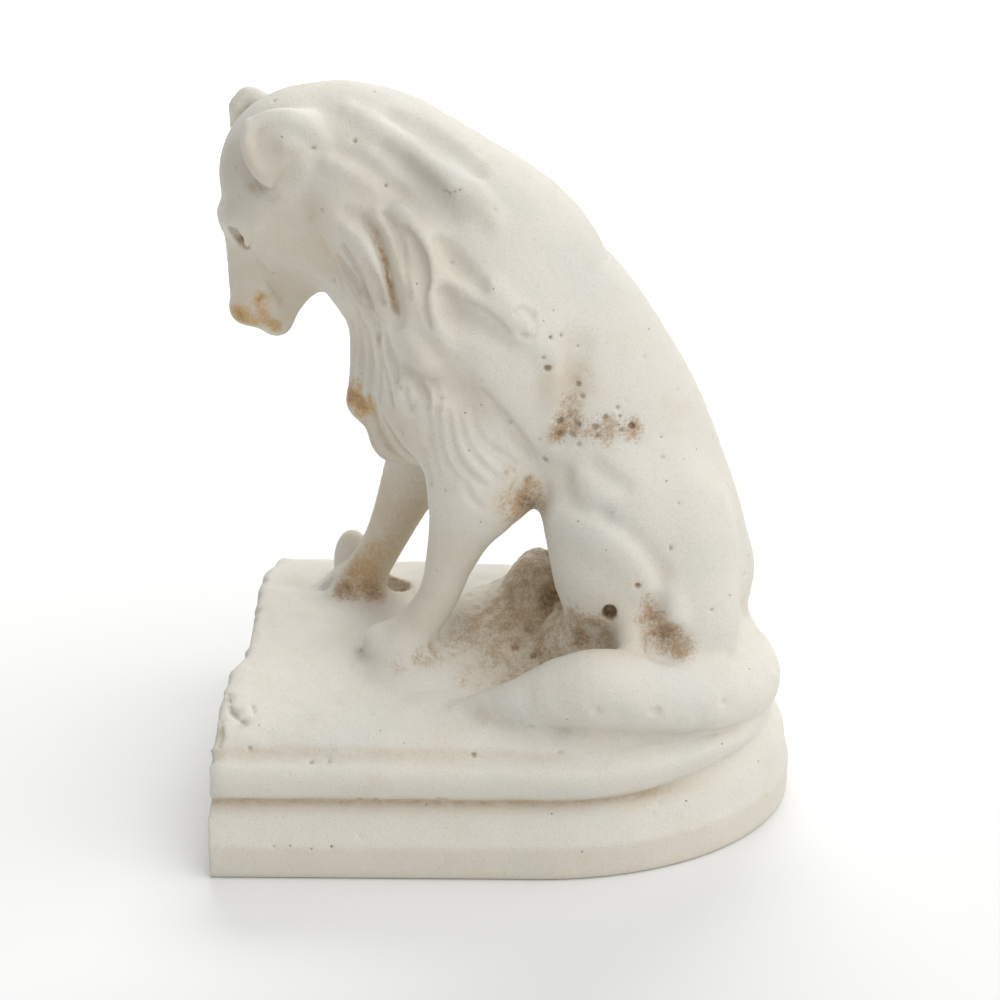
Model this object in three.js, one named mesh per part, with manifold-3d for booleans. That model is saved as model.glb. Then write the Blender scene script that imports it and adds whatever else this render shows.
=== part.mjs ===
// Dog bookend: a seated long-haired dog on a moulded plinth, cast as one piece.
// Millimetres, +Z up. The flat end that meets the books is at -X and the dog faces it.
// The dog's left flank is at -Y. Shapes are placed from the middle of the plinth, and the
// finished piece is then centred on its own width and depth, standing on Z = 0.

import * as THREE from 'three';
import Module from 'manifold-3d';
import { mergeVertices } from 'three/addons/utils/BufferGeometryUtils.js';

// Plinth
const HALF_LENGTH = 62.5;
const HALF_WIDTH = 48;
const SIDE_FLARE = 2.5;
const CURVE_START = 4;
// Height, and how far the side stands back there: along the plinth, and round behind the dog
const PLINTH_PROFILE = [
  [0, 0.9, 0.9],
  [0.6, 0.4, 0.4],
  [1.6, 0.1, 0.1],
  [3, 0, 0],
  [7.6, 0, 0],
  [8.9, 0.5, 0.35],
  [11, 1.4, 1.1],
  [12.8, 2.3, 1.8],
  [14.2, 3.2, 2.4],
  [15.3, 4.1, 3],
  [16.1, 4.6, 3.6],
  [16.9, 4.1, 4.1],
  [18.2, 2.8, 4.5],
  [19.8, 2, 4.6],
  [22, 1.5, 4.6],
  [24, 1.7, 4.6],
  [25.4, 2.6, 4.6],
  [26.4, 3.7, 4.7],
];
const GROOVE_RISE_BEHIND = 3.2;
const GROUND_EDGE_HEIGHT = 26.6;
const GROUND_EDGE_DROP = 2.2;
const GROUND_RISE_NEAR = 9.8;
const GROUND_RISE_EXTRA_FAR = 1.9;
const FAR_CORNER_RISE = -0.4;
// How far the edge of the ground has broken back above the flat end, by Y
const END_BREAK = [
  [-60, 1],
  [-22, 1],
  [-14.5, 3.7],
  [-5, 3.5],
  [4, 2.5],
  [12, 1.5],
  [26, 1.6],
  [38, 3.4],
  [60, 5],
];
const END_WEAR = 0.8;
const GROUND_INSET = 4.8;
const GROUND_ROUND_END_INSET = 1.1;
const GROUND_END_INSET = 1;
const GROUND_FLOOR = 20.5;
const CURVE_STEPS = 24;
const STRAIGHT_STEPS = 4;

// Head
const HEAD_YAW_DEGREES = 13;
const POLL_X = -40;
const POLL_Y = 1;

// Clay
const CELL = 1.35;
const CLAY_LOW = [-68, -52, 18];
const CLAY_HIGH = [64, 50, 164];
const CLAY_TRIANGLES = 8000;

const STONE_COLOUR = 0xe2ddd0;

const clamp = (value, low, high) => Math.min(high, Math.max(low, value));
const smoothStep = (value) => {
  const t = clamp(value, 0, 1);
  return t * t * (3 - 2 * t);
};
const bothSides = [-1, 1];

// The value at a place between rows of [place, value]
function valueAt(rows, place) {
  const next = Math.max(rows.findIndex(([end]) => end >= place), 1);
  const [[from, low], [to, high]] = rows.slice(next - 1, next + 1);
  return low + ((high - low) * (place - from)) / (to - from);
}

// Half the plinth's width: it widens a little towards the flat end
function halfWidthAt(x) {
  return HALF_WIDTH + (SIDE_FLARE * Math.max(CURVE_START - x, 0)) / (CURVE_START + HALF_LENGTH);
}

// The plinth's outline, walked from the near corner of the flat end round to the far corner. It is
// drawn in by one inset along the plinth and by another behind the dog.
function plinthOutline(along, behind) {
  const sides = [];
  const straight = HALF_LENGTH + CURVE_START;
  for (let i = 0; i < STRAIGHT_STEPS; i += 1) {
    const x = -HALF_LENGTH + (straight * i) / STRAIGHT_STEPS;
    sides.push([x, halfWidthAt(x) - along]);
  }
  const round = [];
  const reach = HALF_LENGTH - CURVE_START;
  for (let i = 0; i <= CURVE_STEPS; i += 1) {
    const angle = -Math.PI / 2 + (Math.PI * i) / CURVE_STEPS;
    const fading = smoothStep((CURVE_START + reach * Math.cos(angle) - 48) / 12);
    const inset = along + (behind - along) * fading;
    const x = CURVE_START + (reach - inset) * Math.cos(angle);
    round.push([x, (HALF_WIDTH - inset) * Math.sin(angle)]);
  }
  const near = sides.map(([x, y]) => [x, -y]);
  return [...near, ...round, ...sides.reverse()];
}

// Roughly how far a point in plan lies outside the plinth's curved side (less than 0 inside)
function outsideOfPlinth(x, y) {
  if (x <= CURVE_START) {
    return Math.abs(y) - halfWidthAt(x);
  }
  const reach = HALF_LENGTH - CURVE_START;
  const u = (x - CURVE_START) / reach;
  const v = y / HALF_WIDTH;
  const radius = Math.hypot(u, v);
  return (radius * (radius - 1)) / Math.max(Math.hypot(u / reach, v / HALF_WIDTH), 1e-6);
}

function groundHeight(inset, x, y) {
  const far = clamp(y / 30 + 0.3, 0, 1);
  const corner = far * clamp((-25 - x) / 25, 0, 1);
  const rise = GROUND_RISE_NEAR + GROUND_RISE_EXTRA_FAR * far + FAR_CORNER_RISE * corner;
  const edge = GROUND_EDGE_HEIGHT - GROUND_EDGE_DROP * Math.exp((GROUND_INSET - inset) / 2.5);
  return edge + rise * (1 - (1 - inset / (HALF_WIDTH + SIDE_FLARE)) ** (2.6 + 5 * far));
}

// The moulded block: one ring of points to each level, closed below, above and at the flat end.
// Its groove rises and fades round behind the dog.
function makeBlock() {
  const rings = PLINTH_PROFILE.map(([height, along, behind]) => {
    const end = -HALF_LENGTH + END_WEAR * smoothStep((height - 13) / 5);
    const moved = smoothStep((height - 8) / 8) * smoothStep((28 - height) / 7);
    return plinthOutline(along, behind).map(([x, y]) => {
      const rise = GROOVE_RISE_BEHIND * smoothStep((x - 20) / 34) * moved;
      return [Math.max(x, end), y, height + rise];
    });
  });
  const positions = [];
  for (const ring of rings) {
    for (const point of ring) {
      positions.push(...point);
    }
  }
  const across = rings[0].length;
  const at = (level, step) => level * across + step;
  const faces = [];
  const quad = (a, b, c, d) => faces.push(a, b, c, a, c, d);
  for (let level = 0; level + 1 < rings.length; level += 1) {
    for (let step = 0; step + 1 < across; step += 1) {
      quad(at(level, step), at(level, step + 1), at(level + 1, step + 1), at(level + 1, step));
    }
    quad(at(level, across - 1), at(level, 0), at(level + 1, 0), at(level + 1, across - 1));
  }
  const half = (across - 1) / 2;
  const top = rings.length - 1;
  for (let step = 0; step < half; step += 1) {
    const mirror = across - 1 - step;
    const closing = step + 1 === half;
    if (closing) {
      faces.push(at(0, step), at(0, mirror), at(0, step + 1));
      faces.push(at(top, step), at(top, step + 1), at(top, mirror));
    } else {
      quad(at(0, step), at(0, mirror), at(0, mirror - 1), at(0, step + 1));
      quad(at(top, step), at(top, step + 1), at(top, mirror - 1), at(top, mirror));
    }
  }
  const geometry = new THREE.BufferGeometry();
  geometry.setAttribute('position', new THREE.Float32BufferAttribute(positions, 3));
  geometry.setIndex(faces);
  return geometry;
}

// Clay: distances to the surface kept on a grid, to which rounded shapes are added or taken away
class Clay {
  constructor(low, high, cell) {
    this.low = low;
    this.cell = cell;
    this.size = low.map((value, axis) => Math.ceil((high[axis] - value) / cell) + 1);
    this.distance = new Float32Array(this.size[0] * this.size[1] * this.size[2]).fill(20);
  }

  index(i, j, k) {
    return (i * this.size[1] + j) * this.size[2] + k;
  }

  // Blends one shape in, visiting only the grid points inside its own box
  blend(low, high, reach, cut, distanceAt) {
    const first = [];
    const last = [];
    for (let axis = 0; axis < 3; axis += 1) {
      const from = Math.floor((low[axis] - this.low[axis]) / this.cell);
      const to = Math.ceil((high[axis] - this.low[axis]) / this.cell);
      first.push(clamp(from, 0, this.size[axis] - 1));
      last.push(clamp(to, 0, this.size[axis] - 1));
    }
    for (let i = first[0]; i <= last[0]; i += 1) {
      const x = this.low[0] + i * this.cell;
      for (let j = first[1]; j <= last[1]; j += 1) {
        const y = this.low[1] + j * this.cell;
        for (let k = first[2]; k <= last[2]; k += 1) {
          const z = this.low[2] + k * this.cell;
          const spot = this.index(i, j, k);
          const here = cut ? -this.distance[spot] : this.distance[spot];
          const other = distanceAt(x, y, z);
          const overlap = reach > 0 ? Math.max(reach - Math.abs(here - other), 0) / reach : 0;
          const joined = Math.min(here, other) - overlap * overlap * reach * 0.25;
          this.distance[spot] = cut ? -joined : joined;
        }
      }
    }
  }

  // An ellipsoid. Turn gives degrees about X, Y and Z, taken in that order.
  blob(at, size, { turn = [0, 0, 0], reach = 4, cut = false } = {}) {
    const angles = turn.map((degrees) => THREE.MathUtils.degToRad(degrees));
    const matrix = new THREE.Matrix4().makeRotationFromEuler(new THREE.Euler(...angles, 'ZYX'));
    const m = matrix.elements;
    const span = [0, 1, 2].map((row) => {
      const along = Math.hypot(m[row] * size[0], m[row + 4] * size[1], m[row + 8] * size[2]);
      return along + reach + 4;
    });
    const low = at.map((value, axis) => value - span[axis]);
    const high = at.map((value, axis) => value + span[axis]);
    this.blend(low, high, reach, cut, (x, y, z) => {
      const dx = x - at[0];
      const dy = y - at[1];
      const dz = z - at[2];
      const u = (m[0] * dx + m[1] * dy + m[2] * dz) / size[0];
      const v = (m[4] * dx + m[5] * dy + m[6] * dz) / size[1];
      const w = (m[8] * dx + m[9] * dy + m[10] * dz) / size[2];
      const radius = Math.hypot(u, v, w);
      const slope = Math.hypot(u / size[0], v / size[1], w / size[2]);
      return (radius * (radius - 1)) / Math.max(slope, 1e-6);
    });
  }

  // A tube of changing thickness through stations [x, y, z, radius]. Flat squeezes it along Y.
  tube(stations, { reach = 4, flat = 1, cut = false, steps = 5 } = {}) {
    const path = smoothPath(stations, steps);
    const span = Math.max(...path.map((station) => station[3])) + reach + 4;
    const low = [0, 1, 2].map((axis) => Math.min(...path.map((station) => station[axis])) - span);
    const high = [0, 1, 2].map((axis) => Math.max(...path.map((station) => station[axis])) + span);
    const links = [];
    for (let i = 0; i + 1 < path.length; i += 1) {
      const [a, b] = [path[i], path[i + 1]];
      const along = [b[0] - a[0], (b[1] - a[1]) / flat, b[2] - a[2]];
      const square = along[0] ** 2 + along[1] ** 2 + along[2] ** 2 + 1e-9;
      links.push({ a, b, along, square });
    }
    this.blend(low, high, reach, cut, (x, y, z) => {
      let best = Infinity;
      for (const { a, b, along, square } of links) {
        const dx = x - a[0];
        const dy = (y - a[1]) / flat;
        const dz = z - a[2];
        const t = clamp((dx * along[0] + dy * along[1] + dz * along[2]) / square, 0, 1);
        const away = Math.hypot(dx - t * along[0], dy - t * along[1], dz - t * along[2]);
        best = Math.min(best, away - (a[3] + t * (b[3] - a[3])));
      }
      return best * Math.min(1, flat);
    });
  }

  // Where the clay starts when it is approached along Y from one side
  flankAt(x, z, side) {
    const i = Math.round((x - this.low[0]) / this.cell);
    const k = Math.round((z - this.low[2]) / this.cell);
    const count = this.size[1];
    for (let n = 1; n < count; n += 1) {
      const j = side < 0 ? n : count - 1 - n;
      const here = this.distance[this.index(i, j, k)];
      if (here < 0) {
        const before = this.distance[this.index(i, j + side, k)];
        return this.low[1] + this.cell * (j + (side * here) / (here - before));
      }
    }
    return 0;
  }

  // A lock of hair, or with cut a furrow, laid on a flank. Stations are [x, z, radius].
  lock(side, stations, { lift = 0, reach = 1.6, cut = false } = {}) {
    const seen = smoothPath(stations.map(([x, z, radius]) => [x, 0, z, radius]), 5);
    const depth = seen.map(([x, , z]) => this.flankAt(x, z, side) + side * lift);
    const laid = seen.map(([x, , z, radius], i) => {
      const before = depth[Math.max(i - 1, 0)];
      const after = depth[Math.min(i + 1, depth.length - 1)];
      return [x, 0.25 * before + 0.5 * depth[i] + 0.25 * after, z, radius];
    });
    this.tube(laid, { reach, cut, steps: 1 });
  }
}

// A smooth path through stations, each of which may carry a radius as its last number
function smoothPath(stations, steps) {
  if (stations.length < 3 || steps < 2) {
    return stations;
  }
  const count = stations.length;
  const mirror = (end, next) => end.map((value, i) => 2 * value - next[i]);
  const all = [
    mirror(stations[0], stations[1]),
    ...stations,
    mirror(stations[count - 1], stations[count - 2]),
  ];
  const path = [];
  for (let i = 1; i + 2 < all.length; i += 1) {
    for (let n = 0; n < steps; n += 1) {
      const t = n / steps;
      path.push(all[i].map((b, axis) => {
        const [a, c, d] = [all[i - 1][axis], all[i + 1][axis], all[i + 2][axis]];
        const bend = (2 * a - 5 * b + 4 * c - d) * t * t;
        const twist = (3 * b - a - 3 * c + d) * t * t * t;
        return 0.5 * (2 * b + (c - a) * t + bend + twist);
      }));
    }
  }
  path.push(stations[count - 1]);
  return path;
}

// A point given in the head's own directions: forward along the nose, toward the dog's right, height
function onHead(forward, right, height) {
  const yaw = THREE.MathUtils.degToRad(HEAD_YAW_DEGREES);
  const x = POLL_X - forward * Math.cos(yaw) - right * Math.sin(yaw);
  const y = POLL_Y - forward * Math.sin(yaw) + right * Math.cos(yaw);
  return [x, y, height];
}

function shapeTrunk(clay) {
  const spine = [
    [-28, 1, 136.4, 21],
    [-8.5, 0, 119, 25.8],
    [-1.8, 0, 110.4, 25.1],
    [5.2, 0, 102, 25.4],
    [17.2, 0, 85, 24],
    [26, 0, 68, 22.2],
    [31.6, 0, 53, 21.3],
  ];
  clay.tube(spine, { reach: 0, flat: 0.92 });
  // Chest, breastbone and the tuft that hangs from it
  clay.blob([-14, 0, 98], [18.5, 20, 20], { turn: [0, 20, 0], reach: 7 });
  clay.blob([-20.6, 0, 85], [7.4, 11, 7.6], { reach: 5 });
  clay.blob([-27.3, 1, 82.8], [4.9, 7.6, 6.4], { turn: [0, -15, 0], reach: 3.4 });
  // The open space under the belly
  clay.blob([2, 0, 54], [13, 40, 17.5], { turn: [0, 15, 0], reach: 6, cut: true });
}

function shapeLimbs(clay) {
  // Shoulders, then each upper arm, the left one set a little further back than the right
  for (const side of bothSides) {
    clay.blob([-8, 17.5 * side, 104], [16, 10.5, 24], { turn: [0, 12, 0], reach: 7 });
  }
  clay.blob([-7.2, -17.5, 83], [10.4, 9, 15], { turn: [0, 4, 0], reach: 5 });
  clay.blob([-12, 16.5, 82], [11, 9, 15], { turn: [0, 20, 0], reach: 6 });
  // Haunches: the mass, the loin end, the shank, the rump and the hock
  for (const side of bothSides) {
    clay.blob([28, 17 * side, 63], [19.5, 12.5, 22], { turn: [0, 10, 0], reach: 8 });
    clay.blob([19.5, 21 * side, 73], [10, 7.5, 12], { turn: [0, 25, 0], reach: 7 });
    clay.blob([24, 21 * side, 54], [9, 8, 16], { turn: [0, -32, 0], reach: 5 });
    clay.blob([36, 20 * side, 48], [13, 9, 14], { reach: 6 });
    clay.blob([18.5, 20 * side, 44], [6, 6.5, 12], { turn: [0, 5, 0], reach: 5 });
  }
  const leftForeleg = [
    [-8.4, -17.2, 75, 9],
    [-11.4, -16.8, 66, 6.5],
    [-13.4, -16.4, 59.5, 5.1],
    [-15.4, -16, 53, 4.5],
    [-18.6, -15.4, 46.8, 4.4],
    [-23, -15, 42, 4.4],
  ];
  clay.tube(leftForeleg, { reach: 3.5 });
  // Elbow, paw and inner toe of the left foreleg
  clay.blob([-3, -16.6, 74], [10.5, 7, 4.6], { turn: [0, -37, 0], reach: 4 });
  clay.blob([-24.4, -15.2, 39.4], [7.6, 6.2, 5], { turn: [0, -6, 0], reach: 3 });
  clay.blob([-28.6, -15, 40], [4, 4.4, 3.6], { reach: 1.6 });
  const rightForeleg = [
    [-20, 15, 76, 9],
    [-26, 17, 62, 6.2],
    [-30.2, 18, 52, 4.9],
    [-34.4, 18.5, 44, 4.8],
    [-38, 18.5, 39.5, 4.8],
  ];
  clay.tube(rightForeleg, { reach: 4 });
  // Paw of the right foreleg and the stub of stone that stands beside it
  clay.blob([-38.5, 18.5, 38.5], [7, 6, 4.6], { turn: [0, -8, 0], reach: 3 });
  clay.blob([-39.4, 24.5, 42.6], [4.4, 4, 7.4], { reach: 2 });
}

// Neck, the line of the throat, the crest of the nape and the mass of the mane on each side
function shapeNeck(clay) {
  clay.tube([[-40, 0, 142, 16.5], [-25, 0, 130, 20], [-15, 0, 114, 20]], { reach: 4 });
  clay.tube([[-27.5, 0, 112, 4.5], [-29.3, 0, 102, 6], [-32.6, 0, 90.6, 4.3]], { reach: 4.5 });
  clay.tube([[-43, 0, 149.6, 8], [-35, 0, 151, 9], [-24, 0, 146.5, 9.2]], { reach: 3 });
  for (const side of bothSides) {
    const mane = [
      [-32, 13 * side, 136, 10],
      [-22, 15.5 * side, 122, 10],
      [-17, 16.5 * side, 108, 9],
      [-13, 17 * side, 96, 6],
    ];
    clay.tube(mane, { reach: 6 });
  }
}

function shapeHead(clay) {
  const turned = [0, 0, HEAD_YAW_DEGREES];
  // Skull, cheeks, muzzle, lower jaw and nose
  clay.blob(onHead(7.5, 0, 141), [14.8, 14.5, 16], { turn: turned, reach: 5 });
  clay.blob(onHead(9, 0, 129), [12, 12.5, 12], { turn: turned, reach: 5 });
  const muzzle = [
    [...onHead(11.9, 0, 131), 8.2],
    [...onHead(14.2, 0, 120), 7.2],
    [...onHead(15.5, 0, 113.6), 5.6],
  ];
  clay.tube(muzzle, { reach: 3 });
  const jaw = [
    [...onHead(6, 0, 122), 7],
    [...onHead(10, 0, 114), 4.6],
    [...onHead(11.5, 0, 109), 3.6],
  ];
  clay.tube(jaw, { reach: 3 });
  clay.blob(onHead(18.3, 0, 111.8), [2.8, 4, 2.9], { turn: turned, reach: 2 });
  for (const side of bothSides) {
    clay.blob(onHead(14.4, 2.6 * side, 114.4), [4, 3.9, 5], { turn: turned, reach: 3 });
    const brow = [
      [...onHead(19.9, 2.5 * side, 132), 2.6],
      [...onHead(18.8, 6.4 * side, 132.4), 2.4],
      [...onHead(15.6, 10 * side, 132.6), 1.7],
    ];
    clay.tube(brow, { reach: 3 });
    const eye = [
      [...onHead(20.5, 7.2 * side, 131.6), 0.8],
      [...onHead(19.3, 8.2 * side, 130.1), 1.9],
      [...onHead(18.4, 8.7 * side, 128.8), 1.4],
    ];
    clay.tube(eye, { reach: 0.6, cut: true });
    // The hollow behind the cheek
    const [high, low] = [onHead(6, 17.6 * side, 136), onHead(1, 16 * side, 119)];
    const middle = [onHead(3.6, 18.4 * side, 130), onHead(1.6, 17.6 * side, 124)];
    const cheekBack = [
      [high[0], high[2], 1],
      [middle[0][0], middle[0][2], 2],
      [middle[1][0], middle[1][2], 2],
      [low[0], low[2], 1],
    ];
    clay.lock(side, cheekBack, { lift: 1, reach: 3.5, cut: true });
  }
  shapeEar(clay, -1, { ahead: 0, drop: 0, size: 1 });
  shapeEar(clay, 1, { ahead: 0.3, drop: 2.4, size: 0.8 });
  const rims = [
    [
      [...onHead(16.2, -15, 154.6), 1.1],
      [...onHead(12.6, -15.4, 156), 1.4],
      [...onHead(8.4, -15.4, 155.6), 1.7],
      [...onHead(4.6, -15, 153.2), 1.4],
      [...onHead(2.4, -14.6, 150.8), 0.8],
    ],
    [
      [...onHead(16.6, 13.8, 152.6), 1.9],
      [...onHead(14.4, 13.8, 154.4), 2.2],
      [...onHead(11, 12.8, 152.6), 2.4],
    ],
  ];
  for (const rim of rims) {
    clay.tube(rim, { reach: 2.6 });
  }
}

// An ear: a pad, on it the curled leaf with its free front edge, and the hollow inside it
function shapeEar(clay, side, { ahead, drop, size }) {
  const at = (forward, right, height) => onHead(forward + ahead, right * side, height - drop);
  const pad = { turn: [8 * side, -30, HEAD_YAW_DEGREES - 18 * side], reach: 3 };
  clay.blob(at(8.6, 13.8, 150.3), [7.4 * size, 3.7, 6.2 * size], pad);
  const temple = [
    [...at(19.4, 10.6, 149.6), 0.8],
    [...at(18.6, 12.8, 146.4), 2.2],
    [...at(16.6, 13.9, 142.6), 2.6],
    [...at(13.4, 14.6, 139.4), 1.3],
  ];
  if (side < 0) {
    clay.tube(temple, { reach: 2.2, cut: true });
  }
  const leaf = [
    [...at(16.8, 14.8, 153.6), 1.2],
    [...at(17, 15.6, 150.8), 1.6],
    [...at(15.9, 15.9, 147.4), 1.9],
    [...at(14.2, 15.6, 144.2), 1.5],
    [...at(12.6, 15.2, 142), 0.8],
  ];
  clay.tube(side < 0 ? leaf : leaf.slice(0, 3), { reach: side < 0 ? 0.8 : 2.4 });
  const turn = [4 * side, -14, HEAD_YAW_DEGREES - 4 * side];
  clay.blob(at(13.2, 15.3, 147.6), [3.4 * size, 2, 5 * size], { turn, reach: 1.6 });
  clay.blob(at(13.4, 18.6, 149.2), [2.8 * size, 1.9 * size, 4.6 * size], { turn, reach: 1.6, cut: true });
  const behindLeaf = [
    [...at(8.6, 18, 148), 0.6],
    [...at(9, 17.4, 145), 1.1],
    [...at(10.6, 16.2, 142), 0.8],
  ];
  clay.tube(behindLeaf, { reach: 2.4, cut: true });
}

// The larger locks of the mane, from the crest down to the elbow, each with a furrow beside it
function shapeMane(clay) {
  const locks = [
    [[-32.6, 134.6, 1], [-29.8, 132.2, 2], [-27.2, 128.6, 2.2], [-25.6, 123.4, 1.4]],
    [[-26.8, 138, 1], [-23.2, 133.4, 2.3], [-21.6, 128.4, 2.6], [-20.4, 123, 2.2], [-19.8, 116.5, 1]],
    [
      [-22.4, 138.6, 1],
      [-18.8, 133.4, 2.4],
      [-16, 127.3, 2.6],
      [-16.6, 122.6, 2.5],
      [-15.4, 117.6, 2.6],
      [-13, 112, 1.2],
    ],
  ];
  const flatLocks = [
    [[-11.6, 124.6, 0.8], [-6.5, 121.2, 1.5], [-2.2, 117.6, 1.5], [2, 113.6, 0.8]],
    [[-3.6, 123.6, 0.8], [0.4, 119, 1.7], [3.6, 115, 1.6], [6, 110, 0.8]],
    [[-18.6, 145.8, 1], [-13.4, 142.8, 2.4], [-8.4, 139.8, 2.4], [-4, 135, 1]],
  ];
  const tufts = [
    [[-21.2, 114.2, 1], [-19.2, 111.4, 2], [-17.5, 108.8, 2.2], [-15.8, 106.2, 1.2]],
    [[-22.6, 104, 1], [-21.6, 101.4, 2], [-21.8, 98.4, 1.7], [-21, 96.2, 0.8]],
    [[-16.8, 103, 0.8], [-15.7, 101, 1.6], [-15, 98.8, 1.4], [-14.4, 96.8, 0.7]],
  ];
  const furrows = [
    [[-33.3, 138.3, 0.8], [-27.6, 134.6, 1.2], [-24.8, 128.6, 1.6], [-23.6, 121.6, 1.8], [-23, 115.6, 1.2]],
    [[-35, 126.6, 0.8], [-32.4, 123.6, 1.4], [-29.6, 119.8, 0.8]],
    [[-24.6, 137.6, 0.8], [-21.2, 132.8, 2.2], [-19.4, 128.6, 2.2], [-18.4, 125.4, 0.9]],
    [[-14.2, 132, 0.8], [-11.4, 128.2, 1.9], [-6, 124, 1]],
    [[-13, 122, 1], [-11.2, 118, 2.1], [-6.2, 115.2, 1.7], [-1, 112.4, 0.8]],
    [[-26, 143.2, 0.8], [-20.4, 140.2, 1.9], [-14, 136.2, 1]],
    [
      [-24.6, 109, 0.8],
      [-21.9, 106.4, 2],
      [-19.4, 104.6, 2.5],
      [-16.2, 103.4, 2.5],
      [-13, 102.6, 2.1],
      [-9, 101.6, 1.1],
    ],
  ];
  const shoulderValley = [
    [-14, 107.4, 1.2],
    [-10.5, 102.8, 2.7],
    [-7.5, 98.6, 3],
    [-4, 94, 2.8],
    [0, 88.6, 2.2],
    [5, 83.6, 1.2],
  ];
  for (const side of bothSides) {
    locks.forEach((stations) => clay.lock(side, stations, { lift: -0.6, reach: 2.2 }));
    flatLocks.forEach((stations) => clay.lock(side, stations, { lift: -1, reach: 3.4 }));
    furrows.forEach((stations) => clay.lock(side, stations, { lift: 0.5, reach: 2.2, cut: true }));
    clay.lock(side, shoulderValley, { lift: 1.8, reach: 4.5, cut: true });
    tufts.forEach((stations) => clay.lock(side, stations, { lift: -0.8, reach: 1.8 }));
  }
}

// Broad strands of the nape
function shapeNape(clay) {
  const ridges = [
    [[-33.4, 155.2, 0.8], [-29.1, 152.9, 1.5], [-22.8, 149.3, 1.7], [-16.7, 145.6, 1.2], [-11.6, 142, 0.7]],
    [[-36.7, 146.3, 0.8], [-30.4, 144, 1.4], [-25.4, 141, 1.4], [-21, 137, 0.8]],
  ];
  const furrows = [
    [[-26, 149.6, 0.6], [-21.8, 146.2, 1.1], [-17.6, 142.4, 1.5], [-14.1, 138.6, 1.7], [-12, 136.4, 1]],
    [[-34.8, 149, 0.6], [-31.9, 148.4, 1.1], [-27, 145.6, 1.2], [-22.6, 141.6, 0.8]],
    [[-24.3, 154.8, 0.6], [-18, 151.8, 1.2], [-12, 148.2, 1.2], [-7, 144.4, 0.8]],
  ];
  for (const side of bothSides) {
    ridges.forEach((stations) => clay.lock(side, stations, { lift: -1.1, reach: 3 }));
    furrows.forEach((stations) => clay.lock(side, stations, { lift: 0.8, reach: 3, cut: true }));
  }
}

// Folds of the thigh: under the loin, before the knee and along the shank
function shapeThighs(clay) {
  const folds = [
    [[10.5, 83, 0.8], [11.6, 79, 1.3], [15, 76.6, 1.2], [19, 75.4, 0.6]],
    [[17.4, 85.4, 0.6], [20, 84, 0.9], [23.4, 82.2, 0.6]],
    [[19, 76, 0.8], [24.4, 72.4, 1.2], [28.6, 67.6, 1.3], [32, 62, 1.2], [32, 56, 1]],
  ];
  const shin = [[11, 73.4, 2], [18, 71.6, 3.1], [24.6, 66.4, 3.1], [28.6, 60, 2]];
  const tendon = [[33.5, 60, 1.4], [34.5, 54, 2.2], [34.5, 46, 2]];
  for (const side of bothSides) {
    folds.forEach((stations) => clay.lock(side, stations, { lift: 0.8, reach: 3.4, cut: true }));
    clay.lock(side, shin, { lift: -2.6, reach: 4.5 });
    clay.lock(side, tendon, { lift: -1.2, reach: 2.6 });
  }
}

// The heap of earth under the belly
function shapeHeap(clay) {
  clay.blob([5.4, 4, 41], [8.6, 12.4, 12.6], { reach: 4 });
  clay.blob([-1, 3, 37.4], [14, 14, 7], { turn: [0, 6, 0], reach: 5 });
  clay.blob([0, -8, 35], [17, 11, 5], { turn: [0, 6, 0], reach: 6 });
  clay.blob([12.5, -13, 39], [6.5, 10, 9], { reach: 4 });
}

function shapeTail(clay) {
  const tail = [
    [43, 9, 38, 6.6],
    [48.6, 7, 31, 6.8],
    [51.6, -4, 30.6, 7.4],
    [50.2, -15, 31.4, 7.7],
    [42.6, -26, 34.8, 7.9],
    [31.5, -32.6, 37.8, 8.2],
    [20.5, -35.2, 39.8, 8.6],
    [12.6, -35, 38.8, 7.4],
    [3, -34.6, 35.6, 5.2],
    [-5, -33, 34, 2.6],
    [-10, -32, 33, 1],
  ];
  clay.tube(tail, { reach: 3.5 });
  clay.blob([46, -6, 38], [7.5, 15, 6.5], { reach: 5 });
  // The ground rises a little against it
  const foot = [[18, -36.6, 31.8, 1.6], [31, -33.6, 31.6, 2], [42, -27.4, 31.4, 2], [49, -18.5, 30, 1.4]];
  clay.tube(foot, { reach: 3 });
}

// Low mounds that carry the paws over into the ground
function softenPaws(clay) {
  clay.blob([-20, -17, 34.4], [13, 9.5, 4.4], { reach: 3 });
  clay.blob([-36, 18, 35], [12, 10, 4], { reach: 4 });
}

// The ground the dog sits on, domed, with its edge broken back above the flat end
function shapeGround(clay) {
  clay.blend(CLAY_LOW, CLAY_HIGH, 3.4, false, (x, y, z) => {
    const outside = outsideOfPlinth(x, y);
    const broken = valueAt(END_BREAK, y) - GROUND_END_INSET;
    const end = GROUND_END_INSET + broken * clamp((z - 26) / 8, 0, 1) - HALF_LENGTH - x;
    const inset = GROUND_INSET + GROUND_ROUND_END_INSET * smoothStep((x - 5) / 50);
    const body = Math.max(outside + inset, end, GROUND_FLOOR - z);
    const above = z - groundHeight(clamp(-outside, 0, HALF_WIDTH), x, y);
    const overlap = Math.max(2 - Math.abs(body - above), 0) / 2;
    return Math.max(body, above) + overlap * overlap * 0.5;
  });
}

// The crease behind the ribs, the soft ridge in front of it and the hollow of the armpit
function carveFlanks(clay) {
  const crease = [[15.6, 111, 1], [13.4, 105.3, 2], [11.8, 100.2, 2.5], [10.8, 96, 2.5], [10.4, 90.6, 1.6]];
  const ridge = [[8, 114, 1], [8.2, 105, 2], [8.4, 97, 2], [8.2, 91, 1]];
  for (const side of bothSides) {
    clay.lock(side, crease, { lift: 1.3, reach: 2.4, cut: true });
    clay.lock(side, ridge, { lift: -1.4, reach: 2.4 });
    clay.blob([3.4, 23.2 * side, 79], [3, 1.6, 3.6], { reach: 1.6, cut: true });
  }
}

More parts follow.
